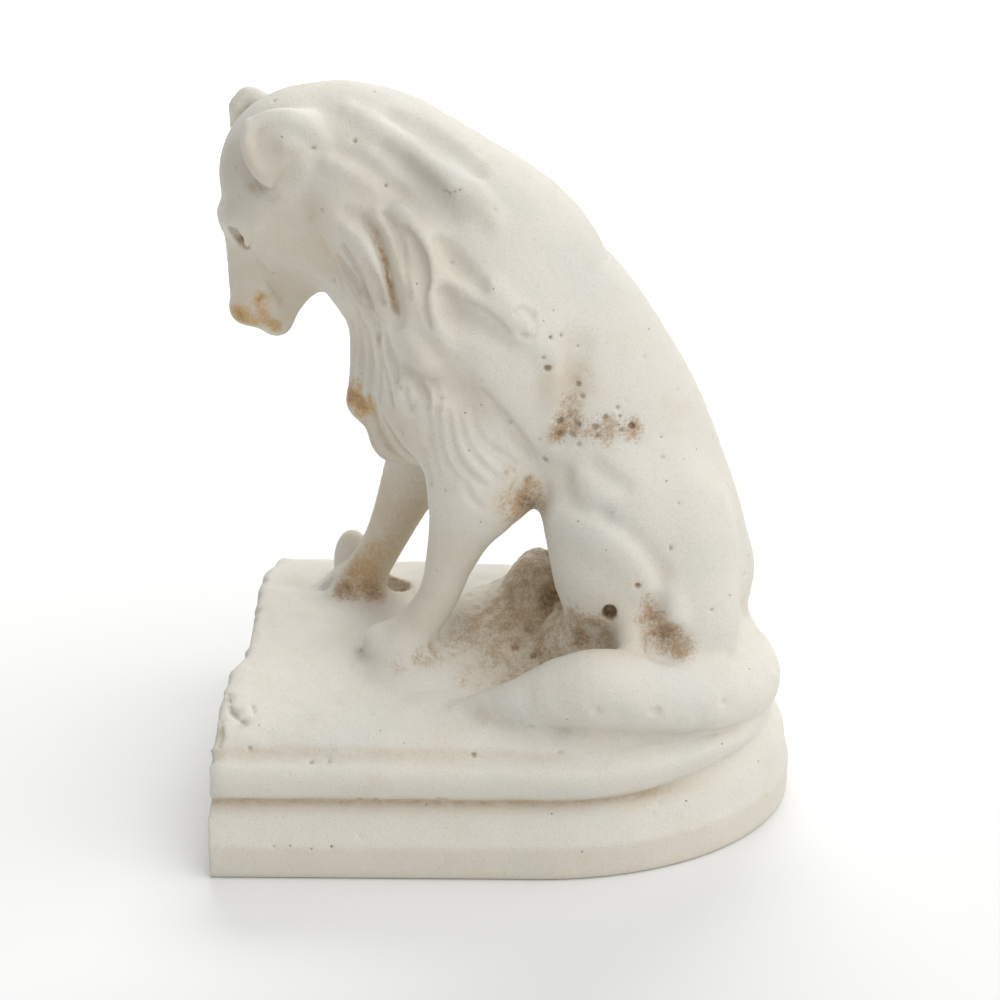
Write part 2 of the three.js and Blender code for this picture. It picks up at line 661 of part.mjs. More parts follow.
// Hollows under the left haunch, and the stone left between them
function carveThighBase(clay) {
  clay.blob([15, -28.4, 46], [5, 3.6, 5], { reach: 3, cut: true });
  clay.blob([20.4, -29.8, 47], [3.4, 2.8, 4.4], { reach: 3, cut: true });
  clay.blob([29.9, -31.6, 53], [2, 2.4, 5.4], { reach: 2.6, cut: true });
  clay.blob([33.4, -31.8, 48.7], [4.4, 3, 3.8], { reach: 3, cut: true });
  clay.blob([25.4, -28.6, 46], [3, 3.4, 8], { reach: 2.4 });
}

// Fills every hollow that the open air round the clay can't reach
function fillPockets(clay) {
  const [nx, ny, nz] = clay.size;
  const field = clay.distance;
  const reached = new Uint8Array(field.length);
  const waiting = [[0, 0, nz - 1]];
  reached[clay.index(0, 0, nz - 1)] = 1;
  while (waiting.length) {
    const cell = waiting.pop();
    for (let axis = 0; axis < 3; axis += 1) {
      for (const step of bothSides) {
        const next = [...cell];
        next[axis] += step;
        if (next[axis] < 0 || next[axis] >= [nx, ny, nz][axis]) {
          continue;
        }
        const spot = clay.index(...next);
        if (!reached[spot] && field[spot] >= 0) {
          reached[spot] = 1;
          waiting.push(next);
        }
      }
    }
  }
  field.forEach((value, spot) => {
    if (value >= 0 && !reached[spot]) {
      field[spot] = -clay.cell;
    }
  });
}

// Fills the outside corner wherever a grid face has its inside corners only on one diagonal, so
// that the surface never touches itself along an edge
function settle(clay) {
  const [nx, ny, nz] = clay.size;
  const field = clay.distance;
  const stride = [ny * nz, nz, 1];
  let changed = true;
  while (changed) {
    changed = false;
    for (let i = 0; i + 1 < nx; i += 1) {
      for (let j = 0; j + 1 < ny; j += 1) {
        for (let k = 0; k + 1 < nz; k += 1) {
          const spot = clay.index(i, j, k);
          for (let axis = 0; axis < 3; axis += 1) {
            const u = stride[(axis + 1) % 3];
            const v = stride[(axis + 2) % 3];
            const ring = [spot, spot + u, spot + u + v, spot + v];
            const [a, b, c, d] = ring.map((corner) => field[corner] < 0);
            if (a === c && b === d && a !== b) {
              field[a ? ring[1] : ring[0]] = -0.02 * clay.cell;
              changed = true;
            }
          }
        }
      }
    }
  }
}

// Surface of the clay as four-sided facets, one point to each grid cell the surface crosses
function skinOf(clay) {
  const [nx, ny, nz] = clay.size;
  const field = clay.distance;
  const cornerOf = (n) => [n & 1, (n >> 1) & 1, (n >> 2) & 1];
  const edges = [];
  for (let a = 0; a < 8; a += 1) {
    for (const bit of [1, 2, 4]) {
      if (!(a & bit)) {
        edges.push([a, a | bit]);
      }
    }
  }
  const pointAt = new Int32Array(field.length).fill(-1);
  const points = [];
  const value = new Float32Array(8);
  for (let i = 0; i + 1 < nx; i += 1) {
    for (let j = 0; j + 1 < ny; j += 1) {
      for (let k = 0; k + 1 < nz; k += 1) {
        let inside = 0;
        for (let n = 0; n < 8; n += 1) {
          const [a, b, c] = cornerOf(n);
          value[n] = field[clay.index(i + a, j + b, k + c)];
          inside += value[n] < 0 ? 1 : 0;
        }
        if (inside === 0 || inside === 8) {
          continue;
        }
        const sum = [0, 0, 0];
        let crossings = 0;
        for (const [a, b] of edges) {
          if ((value[a] < 0) === (value[b] < 0)) {
            continue;
          }
          const t = value[a] / (value[a] - value[b]);
          const from = cornerOf(a);
          const to = cornerOf(b);
          for (let axis = 0; axis < 3; axis += 1) {
            sum[axis] += from[axis] + t * (to[axis] - from[axis]);
          }
          crossings += 1;
        }
        pointAt[clay.index(i, j, k)] = points.length / 3;
        [i, j, k].forEach((cell, axis) => {
          points.push(clay.low[axis] + clay.cell * (cell + sum[axis] / crossings));
        });
      }
    }
  }
  const faces = [];
  const stride = [ny * nz, nz, 1];
  for (let i = 1; i + 1 < nx; i += 1) {
    for (let j = 1; j + 1 < ny; j += 1) {
      for (let k = 1; k + 1 < nz; k += 1) {
        const spot = clay.index(i, j, k);
        for (let axis = 0; axis < 3; axis += 1) {
          const here = field[spot] < 0;
          if (here === (field[spot + stride[axis]] < 0)) {
            continue;
          }
          const u = stride[(axis + 1) % 3];
          const v = stride[(axis + 2) % 3];
          const ring = [spot, spot - u, spot - u - v, spot - v].map((cell) => pointAt[cell]);
          if (!here) {
            ring.reverse();
          }
          faces.push(ring[0], ring[1], ring[2], ring[0], ring[2], ring[3]);
        }
      }
    }
  }
  return { points, faces };
}

// Fewer facets: the shortest-loss edges are closed up until the wanted number is left
function thinOut({ points, faces }, wanted) {
  const count = points.length / 3;
  const spot = (v) => [points[3 * v], points[3 * v + 1], points[3 * v + 2]];
  const corners = [];
  const around = Array.from({ length: count }, () => new Set());
  const sums = Array.from({ length: count }, () => new Float64Array(10));
  const planeOf = (a, b, c) => {
    const [p, q, r] = [spot(a), spot(b), spot(c)];
    const e = [q[0] - p[0], q[1] - p[1], q[2] - p[2]];
    const f = [r[0] - p[0], r[1] - p[1], r[2] - p[2]];
    const n = [e[1] * f[2] - e[2] * f[1], e[2] * f[0] - e[0] * f[2], e[0] * f[1] - e[1] * f[0]];
    const length = Math.hypot(...n);
    const unit = n.map((part) => part / Math.max(length, 1e-12));
    return { unit, offset: -(unit[0] * p[0] + unit[1] * p[1] + unit[2] * p[2]), area: length / 2 };
  };
  for (let f = 0; f < faces.length; f += 3) {
    const trio = [faces[f], faces[f + 1], faces[f + 2]];
    const { unit: [a, b, c], offset: d, area } = planeOf(...trio);
    const parts = [a * a, a * b, a * c, a * d, b * b, b * c, b * d, c * c, c * d, d * d];
    for (const v of trio) {
      around[v].add(corners.length);
      parts.forEach((part, i) => {
        sums[v][i] += part * area;
      });
    }
    corners.push(trio);
  }
  const stamp = new Int32Array(count);
  const gone = new Uint8Array(count);
  const heap = [];
  const swap = (i, j) => {
    [heap[i], heap[j]] = [heap[j], heap[i]];
  };
  const push = (entry) => {
    heap.push(entry);
    let i = heap.length - 1;
    while (i > 0 && heap[(i - 1) >> 1].loss > heap[i].loss) {
      swap(i, (i - 1) >> 1);
      i = (i - 1) >> 1;
    }
  };
  const pop = () => {
    const first = heap[0];
    const last = heap.pop();
    if (heap.length) {
      heap[0] = last;
      let i = 0;
      for (;;) {
        let least = i;
        for (const child of [2 * i + 1, 2 * i + 2]) {
          if (child < heap.length && heap[child].loss < heap[least].loss) {
            least = child;
          }
        }
        if (least === i) {
          break;
        }
        swap(i, least);
        i = least;
      }
    }
    return first;
  };
  const lossAt = (q, [x, y, z]) => q[0] * x * x + 2 * q[1] * x * y + 2 * q[2] * x * z + 2 * q[3] * x
    + q[4] * y * y + 2 * q[5] * y * z + 2 * q[6] * y + q[7] * z * z + 2 * q[8] * z + q[9];
  const matrix = new THREE.Matrix3();
  const target = new THREE.Vector3();
  const offer = (a, b) => {
    const q = sums[a].map((part, i) => part + sums[b][i]);
    const [p, r] = [spot(a), spot(b)];
    const middle = p.map((part, axis) => (part + r[axis]) / 2);
    let place = middle;
    matrix.set(q[0], q[1], q[2], q[1], q[4], q[5], q[2], q[5], q[7]);
    if (Math.abs(matrix.determinant()) > 1e-4) {
      target.set(-q[3], -q[6], -q[8]).applyMatrix3(matrix.invert());
      const reach = Math.hypot(p[0] - r[0], p[1] - r[1], p[2] - r[2]);
      const best = target.toArray();
      if (Math.hypot(...best.map((part, axis) => part - middle[axis])) < reach) {
        place = best;
      }
    }
    const length = Math.hypot(p[0] - r[0], p[1] - r[1], p[2] - r[2]);
    push({ a, b, place, loss: lossAt(q, place) + 1e-5 * length ** 4, stampA: stamp[a], stampB: stamp[b] });
  };
  const neighbours = (v) => {
    const found = new Set();
    for (const f of around[v]) {
      corners[f].forEach((other) => found.add(other));
    }
    found.delete(v);
    return found;
  };
  for (let v = 0; v < count; v += 1) {
    for (const other of neighbours(v)) {
      if (other > v) {
        offer(v, other);
      }
    }
  }
  const keepsFacing = (v, other, place) => {
    for (const f of around[v]) {
      if (corners[f].includes(other)) {
        continue;
      }
      const before = planeOf(...corners[f]).unit;
      const kept = spot(v);
      place.forEach((part, axis) => {
        points[3 * v + axis] = part;
      });
      const after = planeOf(...corners[f]);
      kept.forEach((part, axis) => {
        points[3 * v + axis] = part;
      });
      const turned = before[0] * after.unit[0] + before[1] * after.unit[1] + before[2] * after.unit[2];
      if (turned < 0.3 || after.area < 1e-3) {
        return false;
      }
    }
    return true;
  };
  let left = corners.length;
  while (left > wanted && heap.length) {
    const { a, b, place, stampA, stampB } = pop();
    if (gone[a] || gone[b] || stamp[a] !== stampA || stamp[b] !== stampB) {
      continue;
    }
    const shared = [...neighbours(a)].filter((v) => neighbours(b).has(v));
    if (shared.length !== 2 || !keepsFacing(a, b, place) || !keepsFacing(b, a, place)) {
      continue;
    }
    for (const f of [...around[b]]) {
      if (corners[f].includes(a)) {
        corners[f].forEach((v) => around[v].delete(f));
        corners[f] = null;
        left -= 1;
      } else {
        corners[f] = corners[f].map((v) => (v === b ? a : v));
        around[a].add(f);
      }
    }
    gone[b] = 1;
    sums[b].forEach((part, i) => {
      sums[a][i] += part;
    });
    place.forEach((part, axis) => {
      points[3 * a + axis] = part;
    });
    stamp[a] += 1;
    for (const other of neighbours(a)) {
      offer(a, other);
    }
  }
  return { points, faces: corners.filter((trio) => trio).flat() };
}

function makeDogOnGround() {
  const clay = new Clay(CLAY_LOW, CLAY_HIGH, CELL);
  shapeTrunk(clay);
  shapeLimbs(clay);
  shapeNeck(clay);
  shapeHead(clay);
  shapeMane(clay);
  shapeThighs(clay);
  shapeHeap(clay);
  shapeTail(clay);
  softenPaws(clay);
  shapeGround(clay);
  shapeNape(clay);
  carveFlanks(clay);
  carveThighBase(clay);
  fillPockets(clay);
  settle(clay);
  const { points, faces } = thinOut(skinOf(clay), CLAY_TRIANGLES);
  const geometry = new THREE.BufferGeometry();
  geometry.setAttribute('position', new THREE.Float32BufferAttribute(points, 3));
  geometry.setIndex(faces);
  return geometry;
}

const wasm = await Module();
wasm.setup();

function toSolid(geometry) {
  const bare = geometry.toNonIndexed();
  bare.deleteAttribute('normal');
  bare.deleteAttribute('uv');
  const merged = mergeVertices(bare, 1e-5);
  return new wasm.Manifold(new wasm.Mesh({
    numProp: 3,
    vertProperties: new Float32Array(merged.attributes.position.array),
    triVerts: new Uint32Array(merged.index.array),
  }));
}

function toGeometry(solid) {
  const mesh = solid.getMesh();
  const geometry = new THREE.BufferGeometry();
  geometry.setAttribute('position', new THREE.Float32BufferAttribute(mesh.vertProperties, 3));
  geometry.setIndex(new THREE.Uint32BufferAttribute(mesh.triVerts, 1));
  geometry.computeVertexNormals();
  return geometry;
}

const body = toGeometry(toSolid(makeBlock()).add(toSolid(makeDogOnGround())));
body.computeBoundingBox();
const middle = body.boundingBox.getCenter(new THREE.Vector3());
body.translate(-middle.x, -middle.y, 0);

const stone = new THREE.MeshStandardMaterial({ color: STONE_COLOUR, roughness: 0.85, metalness: 0 });
const bookend = new THREE.Mesh(body, stone);
bookend.name = 'dog_bookend';

const group = new THREE.Group();
group.name = 'dog_bookend_part';
group.add(bookend);

export default group;
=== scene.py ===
import math

import bpy
import numpy as np
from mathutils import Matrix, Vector


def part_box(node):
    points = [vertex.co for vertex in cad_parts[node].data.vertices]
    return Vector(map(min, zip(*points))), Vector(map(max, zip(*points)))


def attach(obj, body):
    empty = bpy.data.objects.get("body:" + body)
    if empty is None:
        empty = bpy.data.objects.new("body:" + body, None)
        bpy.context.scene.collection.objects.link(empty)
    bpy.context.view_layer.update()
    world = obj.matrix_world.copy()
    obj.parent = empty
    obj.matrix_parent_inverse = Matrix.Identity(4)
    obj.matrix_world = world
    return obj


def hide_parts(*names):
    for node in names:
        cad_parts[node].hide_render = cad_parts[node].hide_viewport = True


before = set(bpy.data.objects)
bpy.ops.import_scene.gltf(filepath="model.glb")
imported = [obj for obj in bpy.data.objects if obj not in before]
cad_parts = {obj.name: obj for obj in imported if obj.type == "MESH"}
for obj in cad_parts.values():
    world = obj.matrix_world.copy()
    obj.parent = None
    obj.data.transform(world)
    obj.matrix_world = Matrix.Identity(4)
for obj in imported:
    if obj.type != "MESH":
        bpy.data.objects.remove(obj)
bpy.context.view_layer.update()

MM = 0.001
NODE = "dog_bookend"

# Plinth, in millimetres
HALF_LENGTH = 62.5
HALF_WIDTH = 48.0
SIDE_FLARE = 2.5
CURVE_START = 4.0
# Height, and how far the side stands back there, along the plinth and round behind the dog
PLINTH_PROFILE = [
    (0, 0.9, 0.9), (0.6, 0.4, 0.4), (1.6, 0.1, 0.1), (3, 0, 0), (7.6, 0, 0), (8.9, 0.5, 0.35),
    (11, 1.4, 1.1), (12.8, 2.3, 1.8), (14.2, 3.2, 2.4), (15.3, 4.1, 3), (16.1, 4.6, 3.6), (16.9, 4.1, 4.1),
    (18.2, 2.8, 4.5), (19.8, 2, 4.6), (22, 1.5, 4.6), (24, 1.7, 4.6), (25.4, 2.6, 4.6), (26.4, 3.7, 4.7),
    (27.2, 4.9, 5),
]
GROOVE_RISE_BEHIND = 3.2
GROUND_EDGE_HEIGHT = 26.6
GROUND_EDGE_DROP = 2.2
GROUND_EDGE_SPREAD = 2.5
GROUND_RISE_NEAR = 9.8
GROUND_RISE_EXTRA_FAR = 1.9
FAR_CORNER_RISE = -0.4
# How far the edge of the ground has broken back above the flat end, by Y
END_BREAK = [
    (-60, 1), (-22, 1), (-14.5, 3.7), (-5, 3.5), (4, 2.5), (12, 1.5), (26, 1.6), (38, 3.4), (60, 5),
]
END_WEAR = 0.8
GROUND_INSET = 4.8
GROUND_ROUND_END_INSET = 1.1
GROUND_END_INSET = 1
GROUND_FLOOR = 20.5
MEETING_HEIGHT = 27.3

# Head
HEAD_YAW_DEGREES = 13
POLL_X = -40
POLL_Y = 1

# Clay
CELL = 0.5
CLAY_LOW = (-68, -52, -2)
CLAY_HIGH = (65, 51, 164)
FAR = 20.0
TRIANGLES = 190000

# Where the shapes' own middle lies in the frame: the round end is the plinth's furthest point
SHIFT_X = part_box(NODE)[1][0] / MM - HALF_LENGTH

LEFT = -1
RIGHT = 1
SIDES = (LEFT, RIGHT)


def smooth_step(value):
    t = np.clip(value, 0, 1)
    return t * t * (3 - 2 * t)


def above(value, start, width):
    """0 up to start, 1 from start + width, smooth between."""
    return smooth_step((value - start) / width)


def below(value, end, width):
    """1 up to end - width, 0 from end, smooth between."""
    return smooth_step((end - value) / width)


def turned(degrees):
    """Rotation about X, then Y, then Z."""
    a, b, c = np.radians(degrees)
    about_x = np.array([[1, 0, 0], [0, np.cos(a), -np.sin(a)], [0, np.sin(a), np.cos(a)]])
    about_y = np.array([[np.cos(b), 0, np.sin(b)], [0, 1, 0], [-np.sin(b), 0, np.cos(b)]])
    about_z = np.array([[np.cos(c), -np.sin(c), 0], [np.sin(c), np.cos(c), 0], [0, 0, 1]])
    return about_z @ about_y @ about_x


def smooth_path(stations, steps):
    """A smooth path through stations, each of which may carry a radius as its last number."""
    p = np.array(stations, float)
    if len(p) < 3 or steps < 2:
        return p
    p = np.vstack([2 * p[0] - p[1], p, 2 * p[-1] - p[-2]])
    path = []
    for a, b, c, d in zip(p, p[1:], p[2:], p[3:]):
        for t in np.arange(steps) / steps:
            bend = (2 * a - 5 * b + 4 * c - d) * t * t
            twist = (3 * b - a - 3 * c + d) * t ** 3
            path.append(0.5 * (2 * b + (c - a) * t + bend + twist))
    path.append(p[-2])
    return np.array(path)


def random_field(axes, spacing, seed):
    """Smooth random values from -1 to 1 on a grid, with bumps about spacing across."""
    draw = np.random.default_rng(seed)
    lows = [axis[0] for axis in axes]
    spans = [int((axis[-1] - axis[0]) / spacing) + 3 for axis in axes]
    field = draw.uniform(-1, 1, spans).astype(np.float32)
    for i, axis in enumerate(axes):
        place = (axis - lows[i]) / spacing
        base = np.floor(place).astype(int)
        part = smooth_step(place - base).astype(np.float32)
        shape = [1, 1, 1]
        shape[i] = -1
        part = part.reshape(shape)
        field = np.take(field, base, i) * (1 - part) + np.take(field, base + 1, i) * part
    return field


def random_at(points, spacing, seed):
    """Smooth random values from -1 to 1 at any points."""
    draw = np.random.default_rng(seed)
    side = 64
    lattice = draw.uniform(-1, 1, (side, side, side))
    place = points / spacing
    base = np.floor(place).astype(int)
    part = smooth_step(place - base)
    total = 0
    for corner in np.ndindex(2, 2, 2):
        weight = np.prod(np.where(corner, part, 1 - part), 1)
        total = total + weight * lattice[tuple(((base + corner) % side).T)]
    return total


class Clay:
    """Distances to the surface on a grid, to which rounded shapes are added or taken away."""

    def __init__(self, low, high, cell):
        self.low = np.array(low, float)
        self.cell = cell
        self.count = np.ceil((np.array(high) - self.low) / cell).astype(int) + 1
        self.axes = [(self.low[i] + np.arange(self.count[i]) * cell).astype(np.float32) for i in range(3)]
        self.distance = np.full(self.count, FAR, np.float32)

    def window(self, low, high):
        first = np.floor((np.array(low) - self.low) / self.cell).astype(int)
        last = np.ceil((np.array(high) - self.low) / self.cell).astype(int) + 1
        first = np.clip(first, 0, self.count - 1)
        last = np.clip(last, first + 1, self.count)
        return tuple(slice(a, b) for a, b in zip(first, last))

    def points(self, window):
        x, y, z = (axis[part] for axis, part in zip(self.axes, window))
        return x[:, None, None], y[None, :, None], z[None, None, :]

    def blend(self, window, other, reach, cut=False):
        here = self.distance[window]
        if cut:
            here = -here
        joined = np.minimum(here, other)
        if reach > 0:
            overlap = np.maximum(reach - np.abs(here - other), 0) / reach
            joined = joined - overlap * overlap * (reach * 0.25)
        self.distance[window] = -joined if cut else joined

    def blob(self, at, size, turn=(0, 0, 0), reach=4.0, cut=False):
        """An ellipsoid. Turn gives degrees about X, Y and Z, taken in that order."""
        at, size = np.array(at, float), np.array(size, float)
        m = turned(turn)
        span = np.sqrt(((m * size) ** 2).sum(1)) + reach + 4
        window = self.window(at - span, at + span)
        x, y, z = self.points(window)
        x, y, z = x - at[0], y - at[1], z - at[2]
        own = [(m[0, i] * x + m[1, i] * y + m[2, i] * z) / size[i] for i in range(3)]
        radius = np.sqrt(sum(part ** 2 for part in own))
        slope = np.sqrt(sum((part / size[i]) ** 2 for i, part in enumerate(own)))
        self.blend(window, radius * (radius - 1) / np.maximum(slope, 1e-6), reach, cut)

    def tube(self, stations, reach=4.0, flat=1.0, cut=False, steps=5):
        """A tube of changing thickness through stations (x, y, z, radius), squeezed by flat along Y."""
        path = smooth_path(stations, steps)
        span = path[:, 3].max() + reach + 4
        window = self.window(path[:, :3].min(0) - span, path[:, :3].max(0) + span)
        best = np.full([part.stop - part.start for part in window], FAR, np.float32)
        for a, b in zip(path, path[1:]):
            near = max(a[3], b[3]) + reach + 4
            inner = self.window(np.minimum(a, b)[:3] - near, np.maximum(a, b)[:3] + near)
            x, y, z = self.points(inner)
            x, y, z = x - a[0], (y - a[1]) / flat, z - a[2]
            along = (b - a)[:3] / (1, flat, 1)
            t = np.clip((x * along[0] + y * along[1] + z * along[2]) / (along @ along + 1e-9), 0, 1)
            x, y, z = x - t * along[0], y - t * along[1], z - t * along[2]
            away = np.sqrt(x * x + y * y + z * z) - (a[3] + t * (b[3] - a[3]))
            part = tuple(slice(i.start - w.start, i.stop - w.start) for i, w in zip(inner, window))
            best[part] = np.minimum(best[part], away)
        self.blend(window, best * min(1, flat), reach, cut)

    def flank_at(self, x, z, side):
        """Where the clay starts when it is approached along Y from one side."""
        i, _, k = np.round((np.array([x, 0, z]) - self.low) / self.cell).astype(int)
        column = self.distance[i, :, k]
        inside = np.flatnonzero(column < 0)
        if not len(inside):
            return 0.0
        j = inside[0] if side < 0 else inside[-1]
        here, before = column[j], column[j + side]
        return self.low[1] + self.cell * (j + side * here / (here - before))

    def lock(self, side, stations, lift=0.0, reach=1.6, cut=False, steps=5):
        """A lock of hair, or with cut a furrow, laid on a flank. Stations are (x, z, radius)."""
        seen = smooth_path([(x, 0, z, radius) for x, z, radius in stations], steps)
        depth = np.array([self.flank_at(x, z, side) + side * lift for x, _, z, _ in seen])
        padded = np.concatenate([depth[:1], depth, depth[-1:]])
        seen[:, 1] = 0.25 * padded[:-2] + 0.5 * padded[1:-1] + 0.25 * padded[2:]
        self.tube(seen, reach=reach, cut=cut, steps=1)

    def locks(self, side, group, **how):
        """Several locks or furrows on a flank, all laid in the same way."""
        for stations in group:
            self.lock(side, stations, **how)

    def slope(self, points):
        """Direction in which the distance grows, at any points."""
        steps = np.eye(3) * self.cell
        ahead = [self.sample(points + step) - self.sample(points - step) for step in steps]
        slope = np.stack(ahead, 1)
        return slope / np.maximum(np.linalg.norm(slope, axis=1, keepdims=True), 1e-6)

    def onto(self, points):
        """The places on the surface that lie nearest to points beside it."""
        points = np.array(points, float).reshape(-1, 3)
        for _ in range(5):
            points = points - self.slope(points) * self.sample(points)[:, None]
        return points

    def pit(self, at, radius, depth=1.0):
        """A small round hole, where a bubble or a grain has left the surface."""
        place = self.onto(at)
        inward = -self.slope(place)[0]
        self.blob(place[0] + inward * radius * (depth - 0.75), (radius,) * 3, reach=0.25, cut=True)

    def stroke(self, points, lift=0.0, reach=0.8, cut=False, steps=4):
        """A furrow or a ridge along the surface, near points (x, y, z, radius)."""
        path = smooth_path(points, steps)
        places = self.onto(path[:, :3])
        path[:, :3] = places + self.slope(places) * lift
        self.tube(path, reach=reach, cut=cut, steps=1)

    def roughen(self, low, high, spacing, amount, seed, where):
        """Uneven wear inside a box: the surface goes in and out by up to amount."""
        window = self.window(low, high)
        x, y, z = self.points(window)
        uneven = random_field((x.ravel(), y.ravel(), z.ravel()), spacing, seed) * amount
        self.distance[window] += (uneven * where(x, y, z)).astype(np.float32)

    def sample(self, points):
        """The distance at any points, between the grid's own."""
        q = (points - self.low) / self.cell
        base = np.clip(np.floor(q).astype(int), 0, self.count - 2)
        f = np.clip(q - base, 0, 1)
        total = 0
        for corner in np.ndindex(2, 2, 2):
            weight = np.prod(np.where(corner, f, 1 - f), 1)
            total = total + weight * self.distance[tuple((base + corner).T)]
        return total


def on_head(forward, right, height):
    """A point in the head's own directions: forward along the nose, toward the dog's right, height."""
    yaw = math.radians(HEAD_YAW_DEGREES)
    x = POLL_X - forward * math.cos(yaw) - right * math.sin(yaw)
    y = POLL_Y - forward * math.sin(yaw) + right * math.cos(yaw)
    return x, y, height


def head_path(stations, side=RIGHT, ahead=0, drop=0):
    """Stations (forward, right, height, ...) on one side of the head, as (x, y, z, ...)."""
    return [
        (*on_head(forward + ahead, right * side, height - drop), *rest)
        for forward, right, height, *rest in stations
    ]


def mirrored(stations, side):
    """Points (x, y, z, radius) of the left side, carried over to the side asked for."""
    return [(x, -side * y, z, radius) for x, y, z, radius in stations]


def shape_trunk(clay):
    spine = [
        (-28, 1, 136.4, 21), (-8.5, 0, 119, 25.8), (-1.8, 0, 110.4, 25.1), (5.2, 0, 102, 25.4),
        (17.2, 0, 85, 24), (26, 0, 68, 22.2), (31.6, 0, 53, 21.3),
    ]
    clay.tube(spine, reach=0, flat=0.92)
    # Chest, breastbone and the tuft that hangs from it
    clay.blob((-14, 0, 98), (18.5, 20, 20), turn=(0, 20, 0), reach=7)
    clay.blob((-20.6, 0, 85), (7.4, 11, 7.6), reach=5)
    clay.blob((-27.3, 1, 82.8), (4.9, 7.6, 6.4), turn=(0, -15, 0), reach=3.4)
    # The open space under the belly
    clay.blob((2, 0, 54), (13, 40, 17.5), turn=(0, 15, 0), reach=6, cut=True)


def shape_limbs(clay):
    """The four legs. Each station or middle is (x, y, z), then the radius or the half sizes."""
    # Shoulders, then each upper arm, the left one set a little further back than the right
    for side in SIDES:
        clay.blob((-8, 17.5 * side, 104), (16, 10.5, 24), turn=(0, 12, 0), reach=7)
    clay.blob((-7.2, -17.5, 83), (10.4, 9, 15), turn=(0, 4, 0), reach=5)
    clay.blob((-12, 16.5, 82), (11, 9, 15), turn=(0, 20, 0), reach=6)
    # Haunches: the mass, the loin end, the shank, the rump and the hock
    for side in SIDES:
        clay.blob((28, 17 * side, 63), (19.5, 12.5, 22), turn=(0, 10, 0), reach=8)
        clay.blob((19.5, 21 * side, 73), (10, 7.5, 12), turn=(0, 25, 0), reach=7)
        clay.blob((24, 21 * side, 54), (9, 8, 16), turn=(0, -32, 0), reach=5)
        clay.blob((36, 20 * side, 48), (13, 9, 14), reach=6)
        clay.blob((18.5, 20 * side, 44), (6, 6.5, 12), turn=(0, 5, 0), reach=5)
    left_foreleg = [
        (-8.4, -17.2, 75, 9), (-11.4, -16.8, 66, 6.5), (-13.4, -16.4, 59.5, 5.1), (-15.4, -16, 53, 4.5),
        (-18.6, -15.4, 46.8, 4.4), (-23, -15, 42, 4.4),
    ]
    clay.tube(left_foreleg, reach=3.5)
    # Elbow, paw and inner toe of the left foreleg
    clay.blob((-3, -16.6, 74), (10.5, 7, 4.6), turn=(0, -37, 0), reach=4)
    clay.blob((-24.4, -15.2, 39.4), (7.6, 6.2, 5), turn=(0, -6, 0), reach=3)
    clay.blob((-28.6, -15, 40), (4, 4.4, 3.6), reach=1.6)
    right_foreleg = [
        (-20, 15, 76, 9), (-26, 17, 62, 6.2), (-30.2, 18, 52, 4.9), (-34.4, 18.5, 44, 4.8),
        (-38, 18.5, 39.5, 4.8),
    ]
    clay.tube(right_foreleg, reach=4)
    # Paw of the right foreleg and the stub of stone that stands beside it
    clay.blob((-38.5, 18.5, 38.5), (7, 6, 4.6), turn=(0, -8, 0), reach=3)
    clay.blob((-39.4, 24.5, 42.6), (4.4, 4, 7.4), reach=2)


def shape_neck(clay):
    """Neck, the line of the throat, the crest of the nape and the mass of the mane on each side."""
    clay.tube([(-40, 0, 142, 16.5), (-25, 0, 130, 20), (-15, 0, 114, 20)], reach=4)
    clay.tube([(-27.5, 0, 112, 4.5), (-29.3, 0, 102, 6), (-32.6, 0, 90.6, 4.3)], reach=4.5)
    clay.tube([(-43, 0, 149.6, 8), (-35, 0, 151, 9), (-24, 0, 146.5, 9.2)], reach=3)
    mane = [(-32, -13, 136, 10), (-22, -15.5, 122, 10), (-17, -16.5, 108, 9), (-13, -17, 96, 6)]
    for side in SIDES:
        clay.tube(mirrored(mane, side), reach=6)


# Face and ears, as stations (forward, right, height, radius) in the head's own directions
MUZZLE = [(11.9, 0, 131, 8.2), (14.2, 0, 120, 7.2), (15.5, 0, 113.6, 5.6)]
JAW = [(6, 0, 122, 7), (10, 0, 114, 4.6), (11.5, 0, 109, 3.6)]
BROW = [(19.9, 2.5, 132, 2.6), (18.8, 6.4, 132.4, 2.4), (15.6, 10, 132.6, 1.7)]
LID = [(20.6, 7.8, 132.2, 0.5), (18.8, 9.5, 130.4, 0.8), (17.8, 10, 128.4, 0.5)]
EYE = [(20.5, 7.2, 131.6, 0.8), (19.3, 8.2, 130.1, 1.9), (18.4, 8.7, 128.8, 1.4)]
CHEEK_BACK = [(6, 17.6, 136, 1), (3.6, 18.4, 130, 2), (1.6, 17.6, 124, 2), (1, 16, 119, 1)]
CHEEK_LINE = [
    (17, 9.8, 126.4, 0.5), (15.8, 9.6, 123.6, 0.9), (13.4, 8.6, 119.4, 0.9), (10.6, 6.8, 114.6, 0.5),
]
LIP_LINE = [(14.8, 8, 119.6, 0.6), (12.8, 6.8, 115.8, 0.9), (11, 5.4, 112.4, 0.6)]
TEMPLE = [
    (19.4, 10.6, 149.6, 0.8), (18.6, 12.8, 146.4, 2.2), (16.6, 13.9, 142.6, 2.6), (13.4, 14.6, 139.4, 1.3),
]
EAR_LEAF = [
    (16.8, 14.8, 153.6, 1.2), (17, 15.6, 150.8, 1.6), (15.9, 15.9, 147.4, 1.9), (14.2, 15.6, 144.2, 1.5),
    (12.6, 15.2, 142, 0.8),
]
BEHIND_LEAF = [(8.6, 18, 148, 0.6), (9, 17.4, 145, 1.1), (10.6, 16.2, 142, 0.8)]
